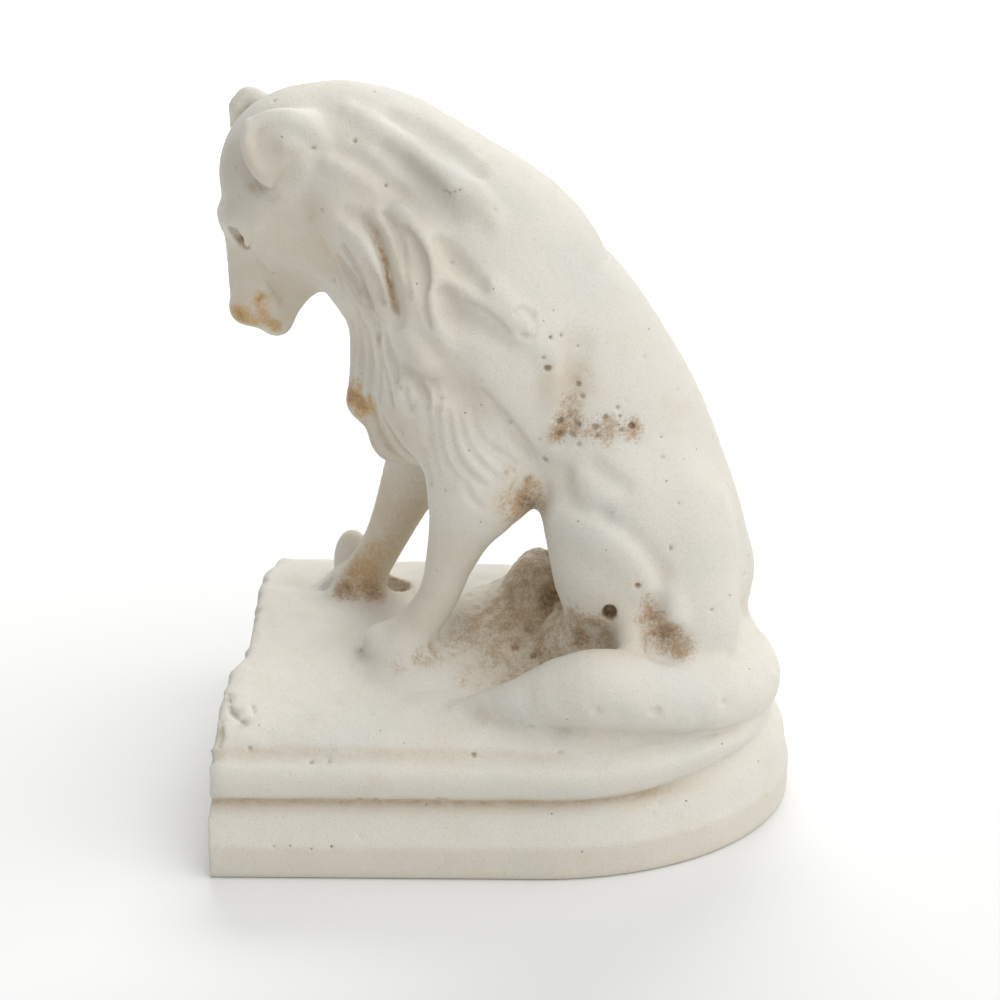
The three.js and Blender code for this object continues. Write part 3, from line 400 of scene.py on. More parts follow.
LEFT_RIM = [
    (16.2, 15, 154.6, 1.1), (12.6, 15.4, 156, 1.4), (8.4, 15.4, 155.6, 1.7), (4.6, 15, 153.2, 1.4),
    (2.4, 14.6, 150.8, 0.8),
]
RIGHT_RIM = [(16.6, 13.8, 152.6, 1.9), (14.4, 13.8, 154.4, 2.2), (11, 12.8, 152.6, 2.4)]
# How the right ear differs from the left one
RIGHT_EAR_AHEAD = 0.3
RIGHT_EAR_DROP = 2.4
RIGHT_EAR_SIZE = 0.8


def shape_head(clay):
    """Skull, muzzle, jaw and nose, then on each side the lip, brow, eye and cheek, and the ears."""
    yaw = (0, 0, HEAD_YAW_DEGREES)
    clay.blob(on_head(7.5, 0, 141), (14.8, 14.5, 16), turn=yaw, reach=5)
    clay.blob(on_head(9, 0, 129), (12, 12.5, 12), turn=yaw, reach=5)
    clay.tube(head_path(MUZZLE), reach=3)
    clay.tube(head_path(JAW), reach=3)
    clay.blob(on_head(18.3, 0, 111.8), (2.8, 4, 2.9), turn=yaw, reach=2)
    for side in SIDES:
        clay.blob(on_head(14.4, 2.6 * side, 114.4), (4, 3.9, 5), turn=yaw, reach=3)
        clay.tube(head_path(BROW, side), reach=3)
        clay.tube(head_path(LID, side), reach=1.2)
        clay.tube(head_path(EYE, side), reach=0.6, cut=True)
        clay.stroke(head_path(CHEEK_BACK, side), lift=1, reach=3.5, cut=True)
        clay.stroke(head_path(CHEEK_LINE, side), lift=0.35, cut=True)
        clay.stroke(head_path(LIP_LINE, side), lift=-0.35)
    for side in SIDES:
        shape_ear(clay, side)


def shape_ear(clay, side):
    """A pad, on it the curled leaf with its free front edge, and the rim that runs back from it."""
    left = side == LEFT
    ahead, drop, size = (0, 0, 1) if left else (RIGHT_EAR_AHEAD, RIGHT_EAR_DROP, RIGHT_EAR_SIZE)
    pad_turn = (8 * side, -30, HEAD_YAW_DEGREES - 18 * side)
    flap_turn = (4 * side, -14, HEAD_YAW_DEGREES - 4 * side)
    pad, flap, hollow = (
        on_head(forward + ahead, right * side, height - drop)
        for forward, right, height in ((8.6, 13.8, 150.3), (13.2, 15.3, 147.6), (13.4, 18.6, 149.2))
    )
    clay.blob(pad, (7.4 * size, 3.7, 6.2 * size), turn=pad_turn, reach=3)
    if left:
        clay.tube(head_path(TEMPLE, side), reach=2.2, cut=True)
        clay.tube(head_path(EAR_LEAF, side), reach=0.8)
    else:
        clay.tube(head_path(EAR_LEAF[:3], side, ahead, drop), reach=2.4)
    clay.blob(flap, (3.4 * size, 2, 5 * size), turn=flap_turn, reach=1.6)
    clay.blob(hollow, (2.8 * size, 1.9 * size, 4.6 * size), turn=flap_turn, reach=1.6, cut=True)
    clay.tube(head_path(BEHIND_LEAF, side, ahead, drop), reach=2.4, cut=True)
    clay.tube(head_path(LEFT_RIM if left else RIGHT_RIM, side), reach=2.6)


# Hair of each flank, as stations (x, z, radius)
MANE_LOCKS = [
    [(-32.6, 134.6, 1), (-29.8, 132.2, 2), (-27.2, 128.6, 2.2), (-25.6, 123.4, 1.4)],
    [(-26.8, 138, 1), (-23.2, 133.4, 2.3), (-21.6, 128.4, 2.6), (-20.4, 123, 2.2), (-19.8, 116.5, 1)],
    [
        (-22.4, 138.6, 1), (-18.8, 133.4, 2.4), (-16, 127.3, 2.6), (-16.6, 122.6, 2.5), (-15.4, 117.6, 2.6),
        (-13, 112, 1.2),
    ],
]
# Broad and low
FLAT_LOCKS = [
    [(-11.6, 124.6, 0.8), (-6.5, 121.2, 1.5), (-2.2, 117.6, 1.5), (2, 113.6, 0.8)],
    [(-3.6, 123.6, 0.8), (0.4, 119, 1.7), (3.6, 115, 1.6), (6, 110, 0.8)],
    [(-18.6, 145.8, 1), (-13.4, 142.8, 2.4), (-8.4, 139.8, 2.4), (-4, 135, 1)],
]
# Short and proud, on the breast
TUFTS = [
    [(-21.2, 114.2, 1), (-19.2, 111.4, 2), (-17.5, 108.8, 2.2), (-15.8, 106.2, 1.2)],
    [(-22.6, 104, 1), (-21.6, 101.4, 2), (-21.8, 98.4, 1.7), (-21, 96.2, 0.8)],
    [(-16.8, 103, 0.8), (-15.7, 101, 1.6), (-15, 98.8, 1.4), (-14.4, 96.8, 0.7)],
]
MANE_FURROWS = [
    [(-33.3, 138.3, 0.8), (-27.6, 134.6, 1.2), (-24.8, 128.6, 1.6), (-23.6, 121.6, 1.8), (-23, 115.6, 1.2)],
    [(-35, 126.6, 0.8), (-32.4, 123.6, 1.4), (-29.6, 119.8, 0.8)],
    [(-24.6, 137.6, 0.8), (-21.2, 132.8, 2.2), (-19.4, 128.6, 2.2), (-18.4, 125.4, 0.9)],
    [(-14.2, 132, 0.8), (-11.4, 128.2, 1.9), (-6, 124, 1)],
    [(-13, 122, 1), (-11.2, 118, 2.1), (-6.2, 115.2, 1.7), (-1, 112.4, 0.8)],
    [(-26, 143.2, 0.8), (-20.4, 140.2, 1.9), (-14, 136.2, 1)],
    [
        (-24.6, 109, 0.8), (-21.9, 106.4, 2), (-19.4, 104.6, 2.5), (-16.2, 103.4, 2.5), (-13, 102.6, 2.1),
        (-9, 101.6, 1.1),
    ],
]
NARROW_FURROW = [
    (-30, 137, 0.3), (-27.3, 133.4, 0.6), (-25.2, 127.7, 0.7), (-23.9, 122.4, 0.7), (-22.9, 117.6, 0.4),
]
SHOULDER_VALLEY = [
    (-14, 107.4, 1.2), (-10.5, 102.8, 2.7), (-7.5, 98.6, 3), (-4, 94, 2.8), (0, 88.6, 2.2), (5, 83.6, 1.2),
]


def shape_mane(clay):
    """The larger locks, from the crest down to the elbow, each with a furrow beside it."""
    for side in SIDES:
        clay.locks(side, MANE_LOCKS, lift=-0.6, reach=2.2)
        clay.locks(side, FLAT_LOCKS, lift=-1, reach=3.4)
        clay.locks(side, MANE_FURROWS, lift=0.5, reach=2.2, cut=True)
        clay.lock(side, SHOULDER_VALLEY, lift=1.8, reach=4.5, cut=True)
        clay.locks(side, TUFTS, lift=-0.8, reach=1.8)
    clay.lock(LEFT, NARROW_FURROW, lift=-0.1, reach=1.4, cut=True)


def shape_thighs(clay):
    """Folds of the thigh: under the loin, before the knee and along the shank."""
    folds = [
        [(10.5, 83, 0.8), (11.6, 79, 1.3), (15, 76.6, 1.2), (19, 75.4, 0.6)],
        [(17.4, 85.4, 0.6), (20, 84, 0.9), (23.4, 82.2, 0.6)],
        [(19, 76, 0.8), (24.4, 72.4, 1.2), (28.6, 67.6, 1.3), (32, 62, 1.2), (32, 56, 1)],
    ]
    shin = [(11, 73.4, 2), (18, 71.6, 3.1), (24.6, 66.4, 3.1), (28.6, 60, 2)]
    tendon = [(33.5, 60, 1.4), (34.5, 54, 2.2), (34.5, 46, 2)]
    for side in SIDES:
        clay.locks(side, folds, lift=0.8, reach=3.4, cut=True)
        clay.lock(side, shin, lift=-2.6, reach=4.5)
        clay.lock(side, tendon, lift=-1.2, reach=2.6)


def shape_heap(clay):
    """The heap of earth under the belly."""
    clay.blob((5.4, 4, 41), (8.6, 12.4, 12.6), reach=4)
    clay.blob((-1, 3, 37.4), (14, 14, 7), turn=(0, 6, 0), reach=5)
    clay.blob((0, -8, 35), (17, 11, 5), turn=(0, 6, 0), reach=6)
    clay.blob((12.5, -13, 39), (6.5, 10, 9), reach=4)


def shape_tail(clay):
    """The tail, laid round the dog's left side."""
    tail = [
        (43, 9, 38, 6.6), (48.6, 7, 31, 6.8), (51.6, -4, 30.6, 7.4), (50.2, -15, 31.4, 7.7),
        (42.6, -26, 34.8, 7.9), (31.5, -32.6, 37.8, 8.2), (20.5, -35.2, 39.8, 8.6), (12.6, -35, 38.8, 7.4),
        (3, -34.6, 35.6, 5.2), (-5, -33, 34, 2.6), (-10, -32, 33, 1),
    ]
    clay.tube(tail, reach=3.5)
    clay.blob((46, -6, 38), (7.5, 15, 6.5), reach=5)
    # The ground rises a little against it
    foot = [(18, -36.6, 31.8, 1.6), (31, -33.6, 31.6, 2), (42, -27.4, 31.4, 2), (49, -18.5, 30, 1.4)]
    clay.tube(foot, reach=3)


# Fine carving of each flank, as stations (x, z, radius)
HAIR_FURROWS = [
    [(-33.8, 131.4, 0.4), (-31.6, 127.4, 0.8), (-29.8, 123.6, 0.5)],
    [(-33.6, 119.4, 0.4), (-31.8, 115.4, 0.7), (-30.8, 112, 0.4)],
    [(-28.6, 116.4, 0.4), (-27.4, 111.6, 0.8), (-26.6, 107, 0.4)],
    [(-26.6, 106.6, 0.4), (-25.4, 101.4, 0.8), (-24.6, 96.6, 0.4)],
    [(-34.2, 124, 0.5), (-32.6, 120.6, 0.8), (-30.9, 118, 0.5)],
    [(-31.4, 126, 0.5), (-29.6, 121.8, 0.9), (-28.2, 118, 0.5)],
    [(-35, 128.5, 0.5), (-32.8, 124.4, 0.8), (-31.2, 121.4, 0.5)],
    [(-29.6, 129.4, 0.5), (-27.4, 124.8, 0.9), (-26.2, 119.6, 0.6)],
    [(-25.4, 137.6, 0.5), (-22.6, 133.6, 0.9), (-21.2, 128, 0.9), (-20.4, 122, 0.5)],
    [(-21.4, 135, 0.5), (-18.4, 131, 0.9), (-17, 126, 0.9), (-17.4, 121.6, 0.8), (-16, 116, 0.5)],
    [(-21.4, 102.4, 0.5), (-21.6, 100, 0.8), (-20.6, 97.4, 0.6)],
    [(-18.6, 103, 0.6), (-17.3, 101, 0.9), (-16.8, 98.4, 0.6)],
    [(-15.8, 103.6, 0.5), (-14.7, 101.5, 0.8), (-14.2, 98.6, 0.5)],
    [
        (1.3, 119.2, 0.5), (2.9, 119.4, 0.8), (4.6, 117.8, 0.9), (5.4, 115.6, 0.8), (4.5, 113.8, 0.6),
        (2.5, 114.4, 0.4),
    ],
    [(-9, 121, 0.5), (-4.6, 118.6, 0.8), (-0.6, 115, 0.6)],
    [(-25.6, 113, 0.5), (-24.6, 108.6, 0.8), (-23.4, 103.4, 0.6)],
]
WAVE_FURROWS = [
    [(-16.7, 96.6, 0.5), (-17, 93, 0.8), (-16.7, 89.4, 0.8), (-16, 85.9, 0.7), (-15, 82.6, 0.4)],
    [
        (-14.7, 98.4, 0.5), (-14.9, 94.5, 0.8), (-14.8, 91, 0.9), (-14.2, 87.5, 0.8), (-13, 85.2, 0.7),
        (-11.3, 83.1, 0.4),
    ],
    [
        (-12.5, 97.6, 0.5), (-12.4, 93.1, 0.9), (-11.8, 89.7, 0.9), (-10.6, 86.4, 0.9), (-7.7, 83.2, 0.7),
        (-5.3, 81.4, 0.4),
    ],
    [
        (-10.5, 98.6, 0.5), (-10.1, 94.8, 0.9), (-9.3, 91.5, 0.9), (-7.5, 88.2, 0.9), (-5, 85.2, 0.7),
        (-2.6, 82.9, 0.4),
    ],
    [(-8, 98.2, 0.5), (-7.2, 94.2, 0.9), (-6, 90.4, 0.9), (-4, 87.8, 0.8), (-1.6, 85.8, 0.6), (0.3, 84, 0.4)],
    [(-5.6, 91.4, 0.4), (-3.2, 88.7, 0.8), (-0.5, 86.5, 0.7), (1.3, 84.5, 0.4)],
    [(-3, 97.6, 0.5), (-0.8, 93.2, 0.8), (1.5, 89, 0.8), (4.1, 85.3, 0.4)],
    [(-5.6, 102.4, 0.5), (-1, 96, 0.8), (2.1, 91.1, 0.8), (4.8, 86, 0.4)],
    [(-18.4, 88, 0.4), (-17.8, 84, 0.7), (-16.8, 80, 0.5)],
    [(-9.6, 82, 0.4), (-8.4, 79, 0.7), (-6, 76.4, 0.4)],
]
NAPE_RIDGES = [
    [(-33.4, 155.2, 0.8), (-29.1, 152.9, 1.5), (-22.8, 149.3, 1.7), (-16.7, 145.6, 1.2), (-11.6, 142, 0.7)],
    [(-36.7, 146.3, 0.8), (-30.4, 144, 1.4), (-25.4, 141, 1.4), (-21, 137, 0.8)],
]
NAPE_FURROWS = [
    [(-26, 149.6, 0.6), (-21.8, 146.2, 1.1), (-17.6, 142.4, 1.5), (-14.1, 138.6, 1.7), (-12, 136.4, 1)],
    [(-34.8, 149, 0.6), (-31.9, 148.4, 1.1), (-27, 145.6, 1.2), (-22.6, 141.6, 0.8)],
    [(-24.3, 154.8, 0.6), (-18, 151.8, 1.2), (-12, 148.2, 1.2), (-7, 144.4, 0.8)],
]
# Strands of the throat and the chest, as stations (x, y, z, radius) near the surface
THROAT_FURROWS = [
    [(-33.6, -10.5, 112, 0.5), (-34.8, -4.6, 103, 0.8), (-35.4, -3, 96, 0.5)],
    [(-31.6, -18, 116.3, 0.5), (-32.3, -9.7, 107.2, 0.8), (-32.9, -6.5, 99.4, 0.8), (-33.6, -5, 93.3, 0.5)],
    [
        (-29.5, -21.7, 118.4, 0.5), (-29.9, -16.6, 110.4, 0.8), (-30.2, -10.6, 101.9, 0.9),
        (-31.1, -8, 94.4, 0.5),
    ],
    [(-27.3, -23.4, 117, 0.5), (-27.3, -21.3, 110.9, 0.8), (-27.5, -17, 103, 0.9), (-28.5, -12.6, 94.8, 0.5)],
    [(-35.6, 0, 110, 0.4), (-36, 0.4, 102, 0.8), (-36, 0.2, 94, 0.5)],
    [(-32, -2.4, 88, 0.5), (-29, -3.6, 81, 0.8), (-25, -4.4, 75, 0.5)],
    [(-29.4, -6.6, 89, 0.5), (-26.6, -8.6, 82, 0.8), (-22.4, -9.4, 76, 0.5)],
    [(-25.6, -11.6, 92, 0.5), (-23.4, -12.6, 85, 0.8), (-20, -13, 78, 0.5)],
]


def carve_hair(clay):
    """The fine strands of the nape, the mane, the shoulder and the throat."""
    for side in SIDES:
        clay.locks(side, NAPE_RIDGES, lift=-1.1, reach=3)
        clay.locks(side, NAPE_FURROWS, lift=0.8, reach=3, cut=True)
        clay.locks(side, HAIR_FURROWS, lift=-0.05, reach=0.9, cut=True)
        clay.locks(side, WAVE_FURROWS, lift=0.15, reach=0.9, cut=True)
        for stations in THROAT_FURROWS:
            clay.stroke(mirrored(stations, side), cut=True)


def carve_flanks(clay):
    """The crease behind the ribs, the soft ridge in front of it and the hollow of the armpit."""
    crease = [(15.6, 111, 1), (13.4, 105.3, 2), (11.8, 100.2, 2.5), (10.8, 96, 2.5), (10.4, 90.6, 1.6)]
    ridge = [(8, 114, 1), (8.2, 105, 2), (8.4, 97, 2), (8.2, 91, 1)]
    for side in SIDES:
        clay.lock(side, crease, lift=1.3, cut=True, reach=2.4)
        clay.lock(side, ridge, lift=-1.4, reach=2.4)
        clay.blob((3.4, 23.2 * side, 79), (3, 1.6, 3.6), reach=1.6, cut=True)


THIGH_CRACK = [(29.6, -29.6, 48.6, 0.2), (29.3, -29.9, 47.2, 0.4), (28.8, -30.4, 46, 0.25)]


def carve_thigh_bases(clay):
    """Hollows under the left haunch, where the earth has stayed, and the stone left between them."""
    clay.blob((15, -28.4, 46), (5, 3.6, 5), reach=3, cut=True)
    clay.blob((20.4, -29.8, 47), (3.4, 2.2, 4.4), reach=3, cut=True)
    clay.blob((29.9, -31.6, 53), (2, 2.4, 5.4), reach=2.6, cut=True)
    clay.blob((33.4, -31.8, 48.7), (4.4, 3, 3.8), reach=3, cut=True)
    clay.blob((25.4, -28.6, 46), (3, 3.4, 8), reach=2.4)
    clay.blob((21.2, -29.2, 54.3), (1.6, 4.4, 2.1), turn=(0, 12, 0), reach=0.5, cut=True)
    clay.stroke(THIGH_CRACK, lift=-0.1, reach=0.3, cut=True)


# Bubble holes (x, y, z, radius)
PORES = [
    (26.9, -30.1, 61.3, 0.7), (8.1, -23.5, 112.8, 0.5), (10.3, -22, 112.8, 0.45), (6.8, -25.3, 109.1, 0.45),
    (7.6, -24.5, 106.7, 0.75), (13.7, -22.3, 102.4, 0.6), (14.7, -22.2, 99.8, 0.5), (11.3, -23.1, 100, 0.4),
    (12.3, -22.8, 99.2, 0.35), (11.5, -23, 98.2, 0.4), (22, -20.4, 96.9, 0.5), (19.6, -21.5, 95.1, 0.6),
    (22.6, -20.5, 95, 0.5), (13.8, -22.6, 93.8, 0.75), (17.5, -22.2, 93.1, 0.7), (10.7, -23, 94.3, 0.8),
    (10.5, -22.7, 91.4, 0.7), (12.4, -22.7, 91.6, 0.65), (18, -22.1, 91.1, 0.55), (14.1, -22.5, 89.4, 0.5),
    (22.9, -20.9, 92.1, 0.5), (25.2, -19.9, 92.8, 0.8), (7, -21.1, 85.2, 0.6), (-0.4, -24.6, 83.5, 0.45),
    (1.5, -23.3, 83.5, 0.45), (3.5, -21.7, 80.9, 0.5), (4.5, -21, 81.3, 0.45), (0.6, -23.7, 79.6, 0.45),
    (0.3, -24.2, 76.8, 0.45), (-12.9, -27.9, 101.7, 0.35), (-22.7, -20.5, 90.6, 0.4),
    (-19.5, -24.2, 92.2, 0.4), (8.6, -21.4, 117.9, 0.4), (31.3, -17.8, 89.8, 0.4),
    (42.8, -27.1, 54.6, 0.45), (35, -25.3, 77.8, 0.35), (33.6, -28.6, 68.7, 0.4), (-49.4, -5.4, 156.9, 0.4),
    (-32.1, -13.9, 150.7, 0.5), (-25.3, -18.8, 142.9, 0.5), (-42, -18.3, 135.6, 0.35),
    (-38.3, -21.1, 138.2, 0.4), (-57, -11.4, 144.3, 0.35), (-56.5, -12, 138.6, 0.35),
    (-50.1, -11, 121.4, 0.4), (-13.9, -17.4, 141.5, 0.35), (-12.7, -17.6, 141.2, 0.4),
    (-11.5, -17.8, 141.4, 0.35), (-10.6, -17.9, 141.8, 0.35), (-54.2, -47.1, 16.8, 0.5),
    (-30.7, -47.1, 16.8, 0.5), (-27.1, -46.9, 16.8, 0.6), (-13.9, -46.5, 17.2, 0.55),
    (-12.4, -46.3, 17.4, 0.5), (-53.8, -44, 28, 0.5), (-40.7, -45.6, 26.6, 0.5), (-37.2, -45.3, 26.6, 0.45),
    (-6.6, -44.8, 27.6, 0.6), (-46.9, -48.3, 14.4, 0.35), (-48.7, -49, 7.8, 0.4), (-36.4, -49, 7.9, 0.45),
    (0.7, -14.5, 38.9, 0.7), (4.7, -15.7, 36.6, 0.8),
]
PORES_SCATTERED = 130
PORES_SEED = 41
PROBE_LENGTH = 75
PROBE_STEP = 1.5
DIMPLES = [(18.9, -45, 38.4, 1.6), (31.1, -41.7, 37.5, 1.8), (45, -33, 36, 1.6), (-9, -28, 99, 1.4)]


def pierce(clay):
    """Bubble holes: the ones that show, and others scattered over every side of the piece."""
    for x, y, z, radius in PORES:
        clay.pit((x, y, z), radius, depth=1.3)
    for x, y, z, radius in DIMPLES:
        clay.pit((x, y, z), radius, depth=0.15)
    draw = np.random.default_rng(PORES_SEED)
    for _ in range(PORES_SCATTERED):
        height = draw.uniform(3, 150)
        bearing = draw.uniform(0, 2 * math.pi)
        radius = draw.uniform(0.25, 0.5)
        middle = np.array([np.interp(height, (30, 60, 150), (10, 20, -25)), 0, height])
        outward = np.array([math.cos(bearing), math.sin(bearing), 0])
        path = middle + outward * np.arange(0, PROBE_LENGTH, PROBE_STEP)[:, None]
        open_air = np.flatnonzero(clay.sample(path) > 0)
        if len(open_air) and open_air[0] > 2:
            clay.pit(path[open_air[0]], radius)


# Where each kind of wear is found, from 0 to 1
def above_foot(x, y, z):
    return above(z, 1, 3)


def near_ground(x, y, z):
    return above(z, 26, 3) * below(z, 43, 4)


def on_tail(x, y, z):
    return above(x, 38, 6) * above(z, 30, 4)


def near_heap(x, y, z):
    away = np.sqrt(((x - 4) / 14) ** 2 + (y / 17) ** 2 + ((z - 42) / 14) ** 2)
    return smooth_step((1.25 - away) * 3)


def near_break(x, y, z):
    return below(x, -56, 4) * above(z, 15, 5) * below(z, 50, 8)


GROUND_BOX = (-58, -44, 24), (60, 44, 46)
TAIL_BOX = (36, -44, 28), (62, 30, 48)
HEAP_BOX = (-16, -22, 28), (24, 22, 60)
BREAK_BOX = (-68, -52, 13), (-54, 51, 52)
# Unevenness of cast and worn stone: the box's corners, spacing, amount, seed, and where in the box
WEAR = [
    (CLAY_LOW, CLAY_HIGH, 7, 0.16, 3, above_foot),
    (CLAY_LOW, CLAY_HIGH, 2.6, 0.05, 4, above_foot),
    (*GROUND_BOX, 4.5, 0.22, 5, near_ground),
    (*GROUND_BOX, 1.5, 0.1, 6, near_ground),
    (*TAIL_BOX, 3.4, 0.3, 15, on_tail),
    (*HEAP_BOX, 4, 0.6, 7, near_heap),
    (*HEAP_BOX, 1.5, 0.4, 8, near_heap),
    (*BREAK_BOX, 5, 0.4, 9, near_break),
    (*BREAK_BOX, 1.5, 0.16, 12, near_break),
]


def soften_paws(clay):
    """Low mounds that carry the paws over into the ground."""
    clay.blob((-20, -17, 34.4), (13, 9.5, 4.4), reach=3)
    clay.blob((-36, 18, 35), (12, 10, 4), reach=4)


def carve_toes(clay):
    """Grooves between the toes."""
    left = [
        [(-17.4, -18.4, 41.6, 0.4), (-17.4, -18.2, 39.8, 0.7), (-17.5, -18.4, 38.4, 0.4)],
        [(-32, -13, 40, 0.5), (-33, -13.4, 37.8, 0.9), (-33.6, -14, 36.4, 0.5)],
    ]
    right = [
        [(-43.6, 15.4, 41.6, 0.5), (-44.6, 15, 39.4, 0.9), (-45.4, 15, 37.4, 0.5)],
        [(-43.8, 19.4, 41.6, 0.5), (-44.8, 19.6, 39.4, 0.9), (-45.6, 19.6, 37.4, 0.5)],
        [(-38, 13.6, 41.4, 0.5), (-38.2, 12.4, 39.6, 0.9), (-38.4, 11.8, 37.6, 0.5)],
    ]
    for stations in left + right:
        clay.stroke(stations, lift=0.1, reach=0.9, cut=True)
    clay.blob((-28.4, 18.6, 38.2), (3, 2.8, 2.6), reach=1.4, cut=True)


def outside_of_plinth(x, y):
    """Roughly how far a point in plan lies outside the plinth's curved side, less than 0 inside."""
    reach = HALF_LENGTH - CURVE_START
    u = np.maximum(x - CURVE_START, 1e-6) / reach
    v = y / HALF_WIDTH
    radius = np.hypot(u, v)
    round_part = radius * (radius - 1) / np.maximum(np.hypot(u / reach, v / HALF_WIDTH), 1e-6)
    half_width = HALF_WIDTH + SIDE_FLARE * (CURVE_START - x) / (CURVE_START + HALF_LENGTH)
    return np.where(x <= CURVE_START, np.abs(y) - half_width, round_part)


def ground_height(inset, x, y):
    """Height of the domed ground at a distance inside the plinth's side."""
    far = np.clip(y / 30 + 0.3, 0, 1)
    corner = far * np.clip((-25 - x) / 25, 0, 1)
    rise = GROUND_RISE_NEAR + GROUND_RISE_EXTRA_FAR * far + FAR_CORNER_RISE * corner
    edge = GROUND_EDGE_HEIGHT - GROUND_EDGE_DROP * np.exp((GROUND_INSET - inset) / GROUND_EDGE_SPREAD)
    return edge + rise * (1 - (1 - inset / (HALF_WIDTH + SIDE_FLARE)) ** (2.6 + 5 * far))


def shape_ground(clay):
    """The ground the dog sits on, domed, with its edge broken back above the flat end."""
    window = clay.window((*CLAY_LOW[:2], GROUND_FLOOR - 4), (*CLAY_HIGH[:2], 50))
    x, y, z = clay.points(window)
    outside = outside_of_plinth(x, y)
    broken = np.interp(y, *zip(*END_BREAK)) - GROUND_END_INSET
    end = GROUND_END_INSET + broken * np.clip((z - 26) / 8, 0, 1) - HALF_LENGTH - x
    inset = GROUND_INSET + GROUND_ROUND_END_INSET * above(x, 5, 50)
    body = np.maximum(np.maximum(outside + inset, end), GROUND_FLOOR - z)
    dome = z - ground_height(np.clip(-outside, 0, HALF_WIDTH), x, y)
    overlap = np.maximum(2 - np.abs(body - dome), 0) / 2
    clay.blend(window, np.maximum(body, dome) + overlap * overlap * 0.5, reach=3.4)
    # Fill the pocket that would stay shut in under the haunch
    clay.blob((24.4, -13.6, 36.8), (4, 3.6, 3.2), reach=0)


def shape_block(clay):
    """The moulded block below the ground. Its groove rises and fades round behind the dog."""
    window = clay.window(CLAY_LOW, (*CLAY_HIGH[:2], 32))
    x, y, z = clay.points(window)
    height = z - GROOVE_RISE_BEHIND * above(x, 20, 34) * above(z, 8, 8) * below(z, 28, 7)
    fading = above(x, 48, 12)
    heights, along, behind = smooth_path(PLINTH_PROFILE, 6).T
    inset = np.interp(height, heights, along) * (1 - fading) + np.interp(height, heights, behind) * fading
    end = -HALF_LENGTH + END_WEAR * above(z, 13, 5) - x
    top = z - PLINTH_PROFILE[-1][0]
    body = np.maximum(np.maximum(outside_of_plinth(x, y) + inset, end), np.maximum(-z, top))
    clay.blend(window, np.maximum(body, -FAR).astype(np.float32), reach=1.6)


# Where the ground meets the round moulding below it
SEAM = [
    (-64, -46.6, 26.9, 1.2), (-43, -45.6, 26.9, 1.3), (-22, -44.9, 27, 1.3), (-1, -44, 26.9, 1.3),
    (9, -43.9, 26.7, 1.1), (20, -43.2, 26.2, 0.7),
]
END_CRACKS = [
    [(-60.2, -29.1, 34, 0.3), (-59.4, -33, 33, 0.45), (-58.7, -36.1, 32.3, 0.45), (-54.7, -39.9, 31, 0.3)],
    [(-54.9, -32.9, 33.2, 0.25), (-54.2, -35, 32.6, 0.4), (-53.7, -36.6, 32, 0.25)],
    [(-60.5, -38, 31.5, 0.3), (-60, -42, 29.5, 0.45), (-60.4, -45.4, 27.5, 0.3)],
]
END_CHIPS = 16
END_CHIPS_SEED = 17


def chip_end(clay):
    """Chips and cracks along the broken edge of the ground above the flat end."""
    for side in SIDES:
        clay.stroke(mirrored(SEAM, side), lift=0.75, reach=2, cut=True)
    for stations in END_CRACKS:
        clay.stroke(stations, lift=-0.15, reach=0.5, cut=True)
    draw = np.random.default_rng(END_CHIPS_SEED)
    for _ in range(END_CHIPS):
        y = draw.uniform(-45, 46)
        z = float(ground_height(HALF_WIDTH - abs(y), -60, y)) - draw.uniform(-0.5, 3)
        radius = draw.uniform(1.8, 4.5)
        clay.pit((-61, y, z), radius, depth=draw.uniform(0.3, 0.9) / radius - 0.25)


JUST_INSIDE = -0.02


def settle(clay):
    """Fill each place where two parts of the surface would touch along one edge only."""
    field = clay.distance
    steps = np.eye(3, dtype=int)
    changed = True
    while changed:
        changed = False
        for axis in range(3):
            u, v = steps[(axis + 1) % 3], steps[(axis + 2) % 3]
            ends = clay.count - u - v
            inside = field < 0
            a, b, c, d = (
                inside[tuple(slice(start, start + end) for start, end in zip(offset, ends))]
                for offset in (0 * u, u, u + v, v)
            )
            touching = np.argwhere((a == c) & (b == d) & (a != b))
            if len(touching):
                first = a[tuple(touching.T)]
                filled = touching + np.where(first[:, None], u, 0)
                field[tuple(filled.T)] = JUST_INSIDE * clay.cell
                changed = True


